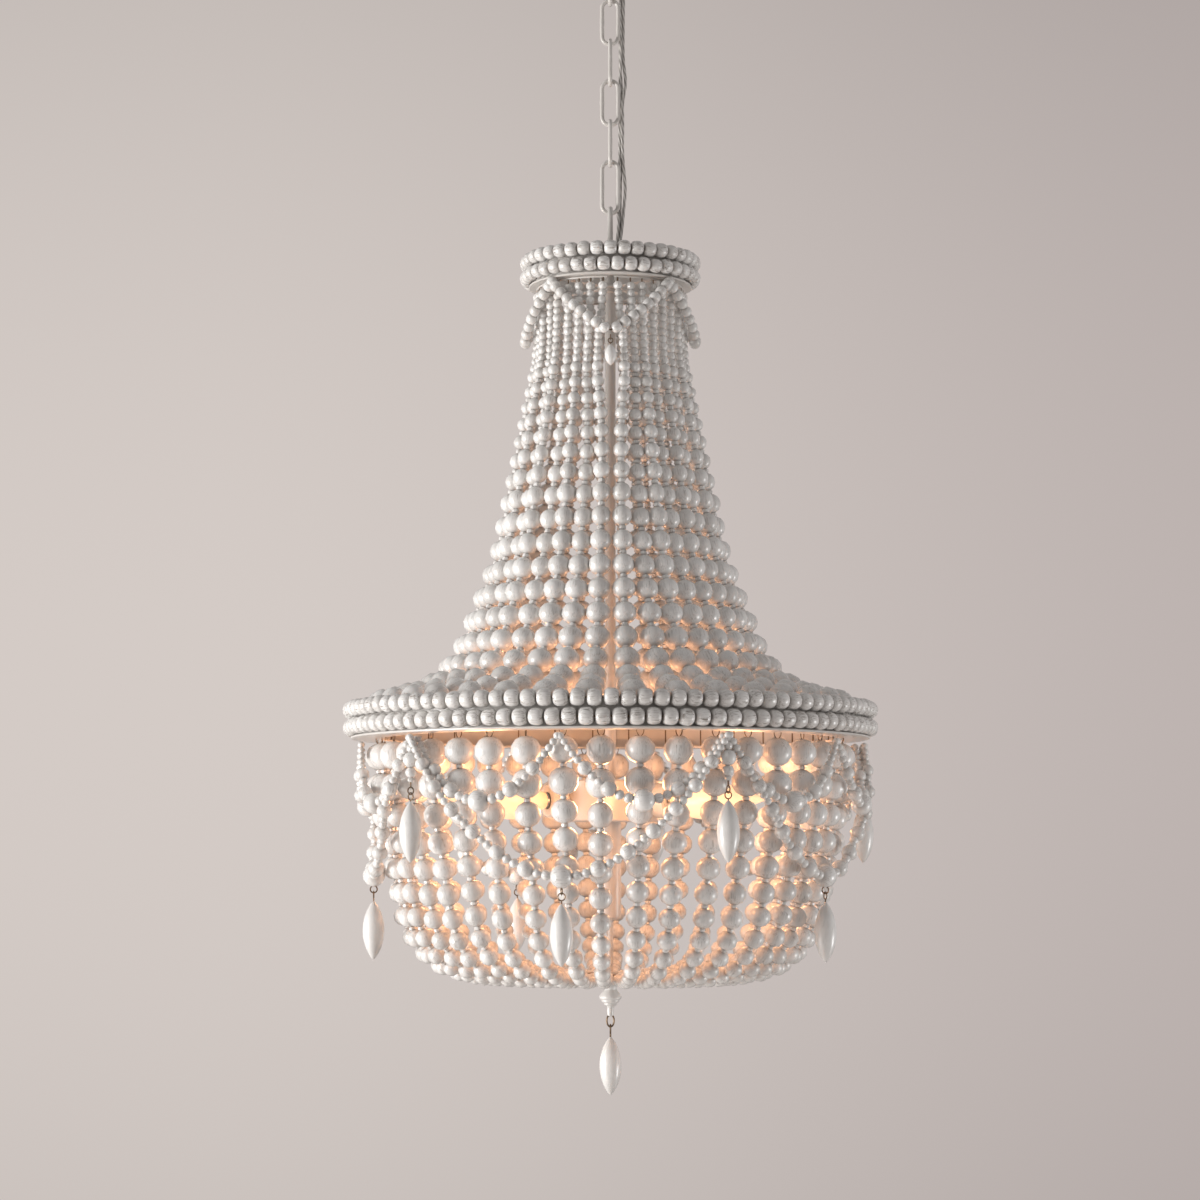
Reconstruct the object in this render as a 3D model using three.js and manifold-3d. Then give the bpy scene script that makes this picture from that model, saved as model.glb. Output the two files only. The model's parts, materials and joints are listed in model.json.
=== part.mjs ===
// Beaded chandelier on a chain: a cone of bead strands hangs from a small crown ring, a large ring
// two beads deep closes it, and a bowl of strands below is drawn in to a hub with a turned finial.
// Three candle lamps sit inside. Millimetres, +Z up. The origin is the middle of the crossbar's
// top face, which lies against the ceiling. Azimuths count from the front (-Y) towards +X.
import * as THREE from 'three';
import { mergeVertices } from 'three/addons/utils/BufferGeometryUtils.js';
import Module from 'manifold-3d';

const wasm = await Module();
wasm.setup();

// Driving dimensions
const seatGap = 0.3; // clearance where one piece rests on another or passes through it
const ringRadius = 250; // large ring, outside of its beads
const ringBead = 16; // its beads
const ringRowPitch = 16.3; // from its upper row to its lower row
const crownRadius = 86; // crown ring, outside of its beads
const crownBead = 13.8;
const crownRowPitch = 14.5;
const bandSheet = 2; // sheet metal of both ring bands
const crownRise = 11.7; // from the top of the stem up to the crown's upper row
const coneHeight = 400.8; // from the crown's flange down to the large ring's upper row
const bowlDepth = 223.2; // from the large ring's flange down to the hub's plate
const strandBead = 25; // largest bead of the cone's strands
const bowlBead = 25.4; // largest bead of the bowl's strands
const spacerBead = 6.6; // small bead between two large ones, its diameter
const spacerLength = 3.2; // and its length along the wire
const stringWire = 2.4; // wire that the strands hang on
const canopyRadius = 60;
const canopyDepth = 22;
const canopySheet = 1.2;
const chainWire = 4;
const linkLength = 47.5;
const lastLinkLength = 54.7; // the link that the fixture hangs in
const linkWidth = 20;
const cordDiameter = 6.5;
const stemRadius = 5;
const oliveLength = 54; // turned drop under a swag
const oliveDiameter = 20;
const swagDrop = 122.8; // from the garland's hook down to the low bead of a long swag
const scallopDrop = 57.8; // the same on a short swag

// Counts and angles
const turn = 2 * Math.PI;
const quarter = turn / 4;
const degree = turn / 360;
const linkCount = 6;
const coneStrands = 36;
const coneGroups = 6;
const bowlStrands = 40;
const bowlGroups = 5;
const bowlStart = -11.2 * degree; // azimuth of the first strand of the bowl
const swagCount = 5;
const crownSwagCount = 4;
const crownOliveCount = 2;
const lampCount = 3;
const lampStart = -62 * degree;
const ringSegments = 36;
const crownSegments = 24;
const beadSides = 6;
const strandSides = 3; // one ridge outwards
const garlandSides = 4;
const roundSides = 10;
const drumSides = 16;
const wireSides = 6;
const sheetSegments = 20;

// Finishes
const finish = (color, roughness, metalness) => new THREE.MeshStandardMaterial({
  color, roughness, metalness,
});
const whiteSteel = finish('#e4dfd8', 0.55, 0.2);
const whitewash = finish('#e6e0d9', 0.75, 0);
const chinaWhite = finish('#ece8e1', 0.4, 0);
const clearFlex = finish('#cfcac4', 0.35, 0);
const warmGlass = finish('#ffe2b8', 0.15, 0);
const zincSteel = finish('#b9bab8', 0.4, 0.8);
const paleNylon = finish('#efece6', 0.5, 0);

const chandelier = new THREE.Group();
chandelier.name = 'beaded_chandelier';

function addPiece(name, geometry, material) {
  const shown = geometry.toNonIndexed();
  shown.computeVertexNormals();
  const mesh = new THREE.Mesh(shown, material);
  mesh.name = name;
  chandelier.add(mesh);
}

// Closed shapes are welded, joined and cut
const weldShare = 1e-6; // of the large ring's radius
function weld(geometry) {
  const bare = geometry.clone();
  bare.deleteAttribute('normal');
  bare.deleteAttribute('uv');
  const welded = mergeVertices(bare, weldShare * ringRadius);
  const from = welded.index.array;
  const kept = [];
  for (let i = 0; i < from.length; i += 3) {
    const [a, b, c] = [from[i], from[i + 1], from[i + 2]];
    if (a !== b && b !== c && c !== a) kept.push(a, b, c);
  }
  const spot = (i) => new THREE.Vector3().fromBufferAttribute(welded.attributes.position, i);
  let volume = 0;
  for (let i = 0; i < kept.length; i += 3) {
    volume += spot(kept[i]).dot(spot(kept[i + 1]).cross(spot(kept[i + 2])));
  }
  if (volume < 0) kept.reverse();
  welded.setIndex(kept);
  return welded;
}

function solidOf(geometry) {
  const welded = weld(geometry);
  const vertProperties = new Float32Array(welded.attributes.position.array);
  const triVerts = new Uint32Array(welded.index.array);
  return new wasm.Manifold(new wasm.Mesh({ numProp: 3, vertProperties, triVerts }));
}

function geometryOf(solid) {
  const { vertProperties, triVerts } = solid.getMesh();
  const geometry = new THREE.BufferGeometry();
  geometry.setAttribute('position', new THREE.BufferAttribute(new Float32Array(vertProperties), 3));
  geometry.setIndex(new THREE.BufferAttribute(new Uint32Array(triVerts), 1));
  return geometry;
}

function join(...shapes) {
  return geometryOf(shapes.map(solidOf).reduce((sum, solid) => sum.add(solid)));
}

function cut(body, ...tools) {
  return geometryOf(tools.map(solidOf).reduce((left, tool) => left.subtract(tool), solidOf(body)));
}

// Round pieces: a profile of [radius, height] turned about Z
function turned(profile, segments) {
  const geometry = new THREE.LatheGeometry(profile.map(([r, z]) => new THREE.Vector2(r, z)), segments);
  return weld(geometry.rotateX(quarter));
}

// A ring of wire: its axis is Z until it is turned
function wireRing(radius, wire, segments, sides) {
  return new THREE.TorusGeometry(radius, wire / 2, sides, segments);
}

// Moves a shape made on the axis out to a radius at the front, then round to its azimuth
function place(geometry, radius, azimuth, height) {
  return geometry.clone().translate(0, -radius, height).rotateZ(azimuth);
}

function spotAt(radius, azimuth, height) {
  return new THREE.Vector3(Math.sin(azimuth) * radius, -Math.cos(azimuth) * radius, height);
}

// A tube of rings along a path. Each ring stands square to the path and reaches its depth
// along the outward direction and its width across it. A closed tube has no ends.
function ringTube({ path, out, depth, width = depth, sides, closed = false }) {
  const last = path.length - 1;
  const position = [];
  path.forEach((centre, i) => {
    const before = path[closed ? (i + last) % path.length : Math.max(i - 1, 0)];
    const after = path[closed ? (i + 1) % path.length : Math.min(i + 1, last)];
    const along = after.clone().sub(before).normalize();
    const normal = out[i].clone().addScaledVector(along, -out[i].dot(along)).normalize();
    const across = along.clone().cross(normal);
    for (let k = 0; k < sides; k += 1) {
      const angle = (k * turn) / sides;
      const spot = centre.clone();
      spot.addScaledVector(normal, Math.cos(angle) * depth[i]);
      spot.addScaledVector(across, Math.sin(angle) * width[i]);
      position.push(spot.x, spot.y, spot.z);
    }
  });
  const index = [];
  for (let i = 0; i < (closed ? path.length : last); i += 1) {
    const a = i * sides;
    const b = ((i + 1) % path.length) * sides;
    for (let k = 0; k < sides; k += 1) {
      const next = (k + 1) % sides;
      index.push(a + k, a + next, b + next, a + k, b + next, b + k);
    }
  }
  for (let k = 1; !closed && k < sides - 1; k += 1) {
    const end = last * sides;
    index.push(0, k + 1, k, end, end + k, end + k + 1);
  }
  const geometry = new THREE.BufferGeometry();
  geometry.setAttribute('position', new THREE.Float32BufferAttribute(position, 3));
  geometry.setIndex(index);
  return geometry;
}

// A value read off a table of [place share, value share] pairs
function readTable(table, share) {
  const next = Math.max(1, table.findIndex(([at]) => at >= share));
  const [[x0, y0], [x1, y1]] = [table[next - 1], table[next]];
  return y0 + ((y1 - y0) * (share - x0)) / (x1 - x0);
}

// Ceiling fixing: a steel crossbar with a blind weld nut under its middle
const barLength = 90;
const barWidth = 18;
const barSheet = 2;
const slotLength = 14;
const slotWidth = 5;
const slotOffset = 21;
const screwOffset = 36; // canopy screws, from the middle
const screwRadius = 2;
const nippleRadius = 5;
const nutRadius = 7.5;
const nutHeight = 10;
const cutOverrun = 1; // cutting tools run this far past the faces they open

const slotTool = new THREE.BoxGeometry(slotLength, slotWidth, barSheet + 2 * cutOverrun);
const screwHole = new THREE.CylinderGeometry(
  screwRadius + seatGap, screwRadius + seatGap, barSheet + 2 * cutOverrun, roundSides,
).rotateX(quarter);
const nutProfile = [
  [nippleRadius + seatGap, -barSheet / 2], [nutRadius, -barSheet / 2],
  [nutRadius, -barSheet - nutHeight], [nippleRadius + seatGap, -barSheet - nutHeight],
  [nippleRadius + seatGap, -barSheet / 2],
];
const barTools = [-1, 1].flatMap((side) => [
  slotTool.clone().translate(side * slotOffset, 0, -barSheet / 2),
  screwHole.clone().translate(side * screwOffset, 0, -barSheet / 2),
]);
const bar = new THREE.BoxGeometry(barLength, barWidth, barSheet).translate(0, 0, -barSheet / 2);
addPiece('ceiling_crossbar', join(cut(bar, ...barTools), turned(nutProfile, roundSides)), zincSteel);

// Canopy: a shallow spun cup, open upwards, that hides the crossbar
const grommetX = 20;
const grommetY = 8;
const grommetRadius = 5.2;
const grommetFlange = 7;
const grommetSheet = 2;
const canopyFlatShare = 0.7; // flat bottom, of the canopy's radius
const canopyShoulderShares = [0.93, 0.75]; // of its radius and its depth
const canopyRimShare = 0.3; // depth at which the wall turns upright

const canopyFlat = canopyFlatShare * canopyRadius;
const [shoulderRadiusShare, shoulderDepthShare] = canopyShoulderShares;
const canopyProfile = [
  [nippleRadius + seatGap, -canopyDepth], [canopyFlat, -canopyDepth],
  [shoulderRadiusShare * canopyRadius, -shoulderDepthShare * canopyDepth],
  [canopyRadius, -canopyRimShare * canopyDepth], [canopyRadius, 0], [canopyRadius - canopySheet, 0],
  [canopyRadius - canopySheet, -canopyRimShare * canopyDepth + canopySheet / 2],
  [shoulderRadiusShare * canopyRadius - canopySheet, -shoulderDepthShare * canopyDepth + canopySheet / 2],
  [canopyFlat - canopySheet / 2, -canopyDepth + canopySheet],
  [nippleRadius + seatGap, -canopyDepth + canopySheet], [nippleRadius + seatGap, -canopyDepth],
];
const bottomHole = (radius) => new THREE.CylinderGeometry(
  radius, radius, canopySheet + 2 * cutOverrun, roundSides,
).rotateX(quarter).translate(0, 0, -canopyDepth + canopySheet / 2);
const canopyTools = [
  bottomHole(screwRadius + seatGap).translate(-screwOffset, 0, 0),
  bottomHole(screwRadius + seatGap).translate(screwOffset, 0, 0),
  bottomHole(grommetRadius + seatGap).translate(grommetX, grommetY, 0),
];
addPiece('ceiling_canopy', cut(turned(canopyProfile, sheetSegments), ...canopyTools), whiteSteel);

// Canopy screws with round heads, up through the canopy into the crossbar
const screwHead = 4;
const screwHeadHeight = 5;
const headRoundShares = [0.75, 0.8]; // of the head's radius and height, where its end turns in
const screwTop = -seatGap;
const headTop = -canopyDepth - seatGap;
const screwProfile = [
  [0, headTop - screwHeadHeight],
  [headRoundShares[0] * screwHead, headTop - headRoundShares[1] * screwHeadHeight],
  [screwHead, headTop - screwHeadHeight / 2], [screwHead, headTop], [screwRadius, headTop],
  [screwRadius, screwTop], [0, screwTop],
];
[['left', -1], ['right', 1]].forEach(([side, sign]) => {
  const screw = turned(screwProfile, roundSides).translate(sign * screwOffset, 0, 0);
  addPiece(`canopy_screw_${side}`, screw, whiteSteel);
});

// Grommet where the lamp cord comes out of the canopy, and the terminal block it starts from
const cordRadius = cordDiameter / 2;
const grommetBore = cordRadius + seatGap;
const grommetProfile = [
  [grommetBore, headTop - grommetSheet], [grommetFlange, headTop - grommetSheet],
  [grommetFlange, headTop], [grommetRadius, headTop],
  [grommetRadius, -canopyDepth + canopySheet], [grommetBore, -canopyDepth + canopySheet],
  [grommetBore, headTop - grommetSheet],
];
addPiece('cord_grommet', turned(grommetProfile, roundSides).translate(grommetX, grommetY, 0), paleNylon);

const blockLength = 22;
const blockWidth = 12;
const blockHeight = 9;
const blockTop = -barSheet - seatGap;
const block = new THREE.BoxGeometry(blockLength, blockWidth, blockHeight)
  .translate(grommetX, grommetY, blockTop - blockHeight / 2);
addPiece('terminal_block', block, paleNylon);

// Canopy loop: a threaded nipple, a collar under the canopy and a closed ring
const collarRadius = 9;
const collarHeight = 3;
const loopRadius = 10; // to the middle of the ring's wire
const loopSink = 2.7; // how far the ring is let into its collar
const loopSegments = 12;
const collarBottom = headTop - collarHeight;
const nippleTop = -barSheet - seatGap;
const loopCentre = collarBottom - loopRadius + loopSink;
const nippleProfile = [
  [0, collarBottom], [collarRadius, collarBottom], [collarRadius, headTop],
  [nippleRadius, headTop], [nippleRadius, nippleTop], [0, nippleTop],
];
const canopyRing = wireRing(loopRadius, chainWire, loopSegments, wireSides)
  .rotateX(quarter).translate(0, 0, loopCentre);
addPiece('canopy_loop', join(turned(nippleProfile, roundSides), canopyRing), whiteSteel);

// Chain: each link hangs inside the one above, turned a quarter about the chain's line
const linkBend = (linkWidth - chainWire) / 2; // radius of the ends, to the middle of the wire
const hangStep = chainWire + seatGap; // from a wire up to the wire that hangs on it
const bendSteps = 6;

function longRing({ top, span, bend, wire }) {
  const path = [];
  for (let i = 0; i <= 2 * bendSteps + 1; i += 1) {
    const upper = i <= bendSteps;
    const angle = ((upper ? i : i - 1) * turn) / (2 * bendSteps);
    const middle = upper ? top - bend : top - span + bend;
    path.push(new THREE.Vector3(bend * Math.cos(angle), 0, middle + bend * Math.sin(angle)));
  }
  const out = path.map(() => new THREE.Vector3(0, 1, 0));
  return ringTube({ path, out, depth: path.map(() => wire / 2), sides: wireSides, closed: true });
}

let linkTop = loopCentre - loopRadius + hangStep;
for (let i = 1; i <= linkCount; i += 1) {
  const span = (i < linkCount ? linkLength : lastLinkLength) - chainWire;
  const link = longRing({ top: linkTop, span, bend: linkBend, wire: chainWire });
  addPiece(`chain_link_${i}`, weld(link.rotateZ(((linkCount - i) % 2) * quarter)), whiteSteel);
  linkTop += hangStep - span;
}
const chainEnd = linkTop - hangStep; // middle of the last link's lowest wire

// Top loop of the fixture: a long ring on a conical boss with a bore at its side for the cord
const eyeWire = 5;
const eyeSpan = 52; // between the middles of its two end wires
const eyeBend = 9;
const eyeSink = 2;
const bossTopRadius = 10.8;
const bossRadius = 12;
const bossHeight = 15;
const cordInset = 6.8; // the cord's bore in the boss, from the axis
const spigotRadius = 3.2;
const spigotLength = 8;
const eyeTop = chainEnd + (chainWire + eyeWire) / 2 + seatGap;
const bossTop = eyeTop - eyeSpan + eyeSink;
const bossBottom = bossTop - bossHeight;
const cordEnd = bossTop - bossHeight / 2;
const bossProfile = [
  [0, bossBottom - spigotLength], [spigotRadius, bossBottom - spigotLength],
  [spigotRadius, bossBottom], [bossRadius, bossBottom], [bossTopRadius, bossTop], [0, bossTop],
];
const cordBore = new THREE.CylinderGeometry(grommetBore, grommetBore, bossHeight, roundSides)
  .rotateX(quarter).translate(cordInset, 0, cordEnd - seatGap + bossHeight / 2);
const eye = longRing({ top: eyeTop, span: eyeSpan, bend: eyeBend, wire: eyeWire }).rotateZ(quarter);
addPiece('top_loop', join(cut(turned(bossProfile, drumSides), cordBore), eye), whiteSteel);

// Lamp cord: from the terminal block through the grommet, down beside the chain, into the boss
const cordStart = blockTop - blockHeight - seatGap;
const cordSideX = 10.8;
const cordSideY = 6.8;
const cordPoints = [
  [grommetX, grommetY, cordStart], [grommetX, grommetY, -26], [18.6, 7.9, -38], [15.2, 7.4, -52],
  [12.6, 7, -68], [11.2, 6.9, -88], [cordSideX, cordSideY, -112], [cordSideX, cordSideY, -140],
  [cordSideX, cordSideY, -170], [cordSideX, cordSideY, -200], [cordSideX, cordSideY, -228],
  [cordSideX, cordSideY, -256], [10.8, 6.7, -272], [10.4, 5.8, -286], [9.2, 3.6, -300],
  [7.8, 1.4, -314], [cordInset, 0.1, -327], [cordInset, 0, cordEnd],
];
const cordSides = 8;
const cordSteps = 26;
const cordSection = new THREE.Shape();
for (let k = 0; k < cordSides; k += 1) {
  const angle = (k * turn) / cordSides;
  const corner = [cordRadius * Math.cos(angle), cordRadius * Math.sin(angle)];
  if (k === 0) cordSection.moveTo(...corner);
  else cordSection.lineTo(...corner);
}
const cordRoute = new THREE.CatmullRomCurve3(cordPoints.map((point) => new THREE.Vector3(...point)));
const cord = new THREE.ExtrudeGeometry(cordSection, {
  steps: cordSteps, bevelEnabled: false, extrudePath: cordRoute,
});
addPiece('lamp_cord', weld(cord), clearFlex);

// Heights down the fixture
const stemTop = bossBottom - seatGap;
const crownUpperRow = stemTop + crownRise;
const crownLowerRow = crownUpperRow - crownRowPitch;
const crownFlangeTop = crownLowerRow - crownBead / 2 - seatGap;
const crownFlangeBottom = crownFlangeTop - bandSheet;
const ringUpperRow = crownFlangeBottom - coneHeight;
const ringLowerRow = ringUpperRow - ringRowPitch;
const ringFlangeTop = ringLowerRow - ringBead / 2 - seatGap;
const ringFlangeBottom = ringFlangeTop - bandSheet;
const hubTop = ringFlangeBottom - bowlDepth;

// Stem: a tube from the top loop to the lamps, a rod from there to the hub
const stemBore = spigotRadius + seatGap;
const rodRadius = 2.5;
const crownNutRadius = 8;
const crownNutHeight = 4;
const drumRadius = 50;
const drumHeight = 38;
const drumSheet = 2;
const drumDrop = 38.4; // from the large ring's flange down to the drum's top
const sleeveRadius = 10; // tube under the drum, closed round the rod at its end
const sleeveLength = 91.7;
const sleeveRound = 4;
const hubSheet = 3;
const drumTop = ringFlangeBottom - drumDrop;
const drumBottom = drumTop - drumHeight;
const sleeveBottom = drumBottom - sleeveLength;
const rodTop = sleeveBottom + drumSheet + seatGap;
const rodBottom = hubTop - hubSheet / 2;
const boreBottom = rodTop + 2 * drumSheet;
const crownNutTop = crownFlangeBottom - seatGap;
const stemProfile = [
  [stemBore, stemTop], [stemRadius, stemTop], [stemRadius, crownNutTop], [crownNutRadius, crownNutTop],
  [crownNutRadius, crownNutTop - crownNutHeight], [stemRadius, crownNutTop - crownNutHeight],
  [stemRadius, rodTop], [rodRadius, rodTop], [rodRadius, rodBottom], [0, rodBottom],
  [0, boreBottom], [stemBore, boreBottom], [stemBore, stemTop],
];
addPiece('center_stem', turned(stemProfile, roundSides), whiteSteel);

// Ring bands: an upright wall inside the beads and a flange under them
const crownFlangeWidth = 13;
const crownFlangeInset = 9; // from the flange's edge out to the beads' outside
const crownLip = 2; // wall above the upper row's middle line
const spokeCount = 4;
const spokeWidth = 8;
const spokeStart = 45 * degree;
const spokeHubRadius = 12;
const ringFlangeWidth = 30;
const ringFlangeInset = 8;
const ringLip = 2;
const crownFlangeOutside = crownRadius - crownFlangeInset;
const crownFlangeInside = crownFlangeOutside - crownFlangeWidth;
const crownWall = crownRadius - crownBead - seatGap;
const ringWall = ringRadius - ringBead - seatGap;

function bandProfile(wall, wallTop, flangeInside, flangeOutside, flangeTop) {
  return [
    [wall, wallTop], [wall, flangeTop], [flangeOutside, flangeTop],
    [flangeOutside, flangeTop - bandSheet], [flangeInside, flangeTop - bandSheet],
    [flangeInside, flangeTop], [wall - bandSheet, flangeTop], [wall - bandSheet, wallTop],
    [wall, wallTop],
  ];
}

const crownBand = turned(bandProfile(
  crownWall, crownUpperRow + crownLip, crownFlangeInside, crownFlangeOutside, crownFlangeTop,
), crownSegments);
const spokeLength = crownFlangeInside + bandSheet - spokeHubRadius / 2;
const spokes = Array.from({ length: spokeCount }, (_, i) => place(
  new THREE.BoxGeometry(spokeWidth, spokeLength, bandSheet),
  spokeHubRadius / 2 + spokeLength / 2, spokeStart + (i * turn) / spokeCount,
  crownFlangeTop - bandSheet / 2,
));
const spokeHub = new THREE.CylinderGeometry(spokeHubRadius, spokeHubRadius, bandSheet, roundSides)
  .rotateX(quarter).translate(0, 0, crownFlangeTop - bandSheet / 2);
const stemHole = new THREE.CylinderGeometry(
  stemRadius + seatGap, stemRadius + seatGap, bandSheet + 2 * cutOverrun, roundSides,
).rotateX(quarter).translate(0, 0, crownFlangeTop - bandSheet / 2);
addPiece('top_ring_band', cut(join(crownBand, ...spokes, spokeHub), stemHole), whiteSteel);

const ringFlangeOutside = ringRadius - ringFlangeInset;
const ringBand = turned(bandProfile(
  ringWall, ringUpperRow + ringLip, ringFlangeOutside - ringFlangeWidth, ringFlangeOutside, ringFlangeTop,
), ringSegments);
addPiece('mid_ring_band', ringBand, whiteSteel);

// Bead rows: each is strung on its own wire round the band
function beadRow(outside, bead, height, segments) {
  return weld(new THREE.TorusGeometry(outside - bead / 2, bead / 2, beadSides, segments)
    .translate(0, 0, height));
}
addPiece('top_ring_beads_upper', beadRow(crownRadius, crownBead, crownUpperRow, crownSegments), whitewash);
addPiece('top_ring_beads_lower', beadRow(crownRadius, crownBead, crownLowerRow, crownSegments), whitewash);
addPiece('mid_ring_beads_upper', beadRow(ringRadius, ringBead, ringUpperRow, ringSegments), whitewash);
addPiece('mid_ring_beads_lower', beadRow(ringRadius, ringBead, ringLowerRow, ringSegments), whitewash);

// A strand is a tube with a ring at each knot of its beads. The width stays inside its share of
// the circle, so neighbours never meet.
const sideReach = Math.sin(turn / strandSides); // of a ring's radius, across
const necksShare = 0.9; // mean radius of a run of small beads, of the bead's own
function strandGeometry({ knots, step, azimuth }) {
  const path = knots.map(([spot]) => spot);
  const depth = knots.map(([, radius]) => radius);
  const width = path.map((spot, i) => {
    const room = Math.hypot(spot.x, spot.y) * Math.sin(step / 2) - seatGap / 2;
    return Math.min(depth[i], room) / sideReach;
  });
  const out = path.map((_, i) => {
    const before = path[Math.max(i - 1, 0)];
    const after = path[Math.min(i + 1, path.length - 1)];
    return new THREE.Vector3(0, after.z - before.z, before.y - after.y);
  });
  return ringTube({ path, out, depth, width, sides: strandSides }).rotateZ(azimuth);
}

// Turns places along a curve into places in space
function knotsOn(curve, knots) {
  return knots.map(([at, radius]) => [curve.getPointAt(Math.min(at / curve.getLength(), 1)), radius]);
}

function profileCurve(shares, start, end) {
  return new THREE.CatmullRomCurve3(shares.map(([r, z]) => new THREE.Vector3(
    0, -(start[0] + r * (end[0] - start[0])), start[1] + z * (end[1] - start[1]),
  )));
}

// Joins a group of strands by the arc of wire that their ends are looped over
const arcOverhang = 0.25; // of the step between strands, at both ends of a group
function strandGroup({ make, first, count, step, start, arcRadius, arcWire, arcHeight }) {
  const strands = [];
  const path = [];
  for (let i = 0; i < count; i += 1) strands.push(make(start + (first + i) * step));
  const middles = Array.from({ length: count }, (_, i) => first + i);
  const reach = [first - arcOverhang, ...middles, first + count - 1 + arcOverhang];
  reach.forEach((at) => path.push(spotAt(arcRadius, start + at * step, arcHeight)));
  const out = path.map(({ x, y }) => new THREE.Vector3(x, y, Math.hypot(x, y)));
  const depth = path.map(() => arcWire * Math.SQRT1_2);
  return join(ringTube({ path, out, depth, sides: garlandSides }), ...strands);
}

// Cone strands: small beads under the crown, growing to the largest at the large ring
const coneStart = 5 * degree; // azimuth of the first strand
const coneInset = 17; // strands' top ends, in from the crown beads' outside
const hookLine = 34; // hooks on the large ring's flange, in from the beads' outside
const tailLength = 16.8; // bare wire from the last bead down to the flange
const coneShares = [
  [0, 0], [0.01, 0.165], [0.082, 0.326], [0.156, 0.476], [0.245, 0.644],
  [0.347, 0.756], [0.476, 0.875], [0.639, 0.949], [0.823, 0.982], [1, 1],
];
const coneBeadShares = [[0, 0.32], [0.18, 0.46], [0.45, 0.7], [0.72, 0.79], [0.86, 0.9], [1, 1]];
const coneRoundBeads = 3; // beads that are shaped one by one, counted up from the ring
const conePlainShares = [0.01, 0.17, 0.33, 0.56, 0.8]; // knots of the run above them
const coneArcWire = 3.2;
const coneStep = turn / coneStrands;
const coneTopRadius = crownRadius - coneInset;
const coneArcHeight = crownFlangeBottom - seatGap - coneArcWire / 2;
const coneEnd = [ringRadius - hookLine, ringFlangeTop + seatGap + tailLength + strandBead / 2];
const coneCurve = profileCurve(coneShares, [coneTopRadius, coneArcHeight], coneEnd);
const coneBead = (at) => strandBead * readTable(coneBeadShares, at / coneCurve.getLength());

function coneKnots() {
  const knots = [];
  let at = coneCurve.getLength();
  for (let i = 0; i < coneRoundBeads; i += 1) {
    const radius = coneBead(at) / 2;
    knots.unshift([at - radius - spacerLength / 2, spacerBead / 2], [at, radius]);
    at -= radius + spacerLength + coneBead(at - 2 * radius) / 2;
  }
  const [top] = knots[0];
  const plain = conePlainShares.map((share) => [share * top, (necksShare * coneBead(share * top)) / 2]);
  knots.unshift([0, stringWire / 2], ...plain);
  const [endRadius, endHeight] = coneEnd;
  const tail = [endHeight - strandBead / 2, ringFlangeTop + seatGap]
    .map((height) => [spotAt(endRadius, 0, height), stringWire / 2]);
  return [...knotsOn(coneCurve, knots), ...tail];
}

const coneStrand = (azimuth) => strandGeometry({ knots: coneKnots(), step: coneStep, azimuth });

for (let group = 0; group < coneGroups; group += 1) {
  const count = coneStrands / coneGroups;
  addPiece(`upper_strands_${group + 1}`, strandGroup({
    make: coneStrand, first: group * count, count, step: coneStep, start: coneStart,
    arcRadius: coneTopRadius, arcWire: coneArcWire, arcHeight: coneArcHeight,
  }), whitewash);
}

// Bowl strands: hooked under the large ring, drawn in to the hub
const bowlHookLength = 5;
const bowlHubRadius = 27;
const bowlArcWire = 9;
const bowlShares = [
  [0, 0], [0.008, 0.19], [0.038, 0.38], [0.079, 0.545], [0.112, 0.68], [0.142, 0.785],
  [0.195, 0.872], [0.284, 0.948], [0.39, 0.988], [0.537, 1.01], [0.748, 1.012], [1, 1],
];
const bowlBeadShares = [
  [0, 1], [0.13, 1], [0.16, 0.88], [0.3, 0.85], [0.45, 0.74], [0.56, 0.63], [0.68, 0.52],
  [0.85, 0.42], [1, 0.32],
];
const bowlRoundBeads = 2;
const bowlPlainShares = [0.12, 0.28, 0.43, 0.56, 0.78, 1]; // knots of the run below them
const bowlStep = turn / bowlStrands;
const bowlHookTop = ringFlangeBottom - seatGap;
const bowlArcHeight = hubTop + seatGap + bowlArcWire / 2;
const bowlCurve = profileCurve(
  bowlShares, [ringRadius - hookLine, bowlHookTop], [bowlHubRadius, bowlArcHeight],
);
const bowlBeadAt = (at) => bowlBead * readTable(bowlBeadShares, at / bowlCurve.getLength());

function bowlKnots() {
  const knots = [[0, stringWire / 2], [bowlHookLength, stringWire / 2]];
  let at = bowlHookLength + bowlBeadAt(0) / 2;
  for (let i = 0; i < bowlRoundBeads; i += 1) {
    const radius = bowlBeadAt(at) / 2;
    knots.push([at, radius], [at + radius + spacerLength / 2, spacerBead / 2]);
    at += radius + spacerLength + bowlBeadAt(at + 2 * radius) / 2;
  }
  const [top] = knots[knots.length - 1];
  const rest = bowlCurve.getLength() - top;
  bowlPlainShares.forEach((share) => {
    const spot = top + share * rest;
    knots.push([spot, (necksShare * bowlBeadAt(spot)) / 2]);
  });
  return knotsOn(bowlCurve, knots);
}

const bowlStrand = (azimuth) => strandGeometry({ knots: bowlKnots(), step: bowlStep, azimuth });
for (let group = 0; group < bowlGroups; group += 1) {
  const count = bowlStrands / bowlGroups;
  addPiece(`lower_strands_${group + 1}`, strandGroup({
    make: bowlStrand, first: group * count, count, step: bowlStep, start: bowlStart,
    arcRadius: bowlHubRadius, arcWire: bowlArcWire, arcHeight: bowlArcHeight,
  }), whitewash);
}

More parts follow.
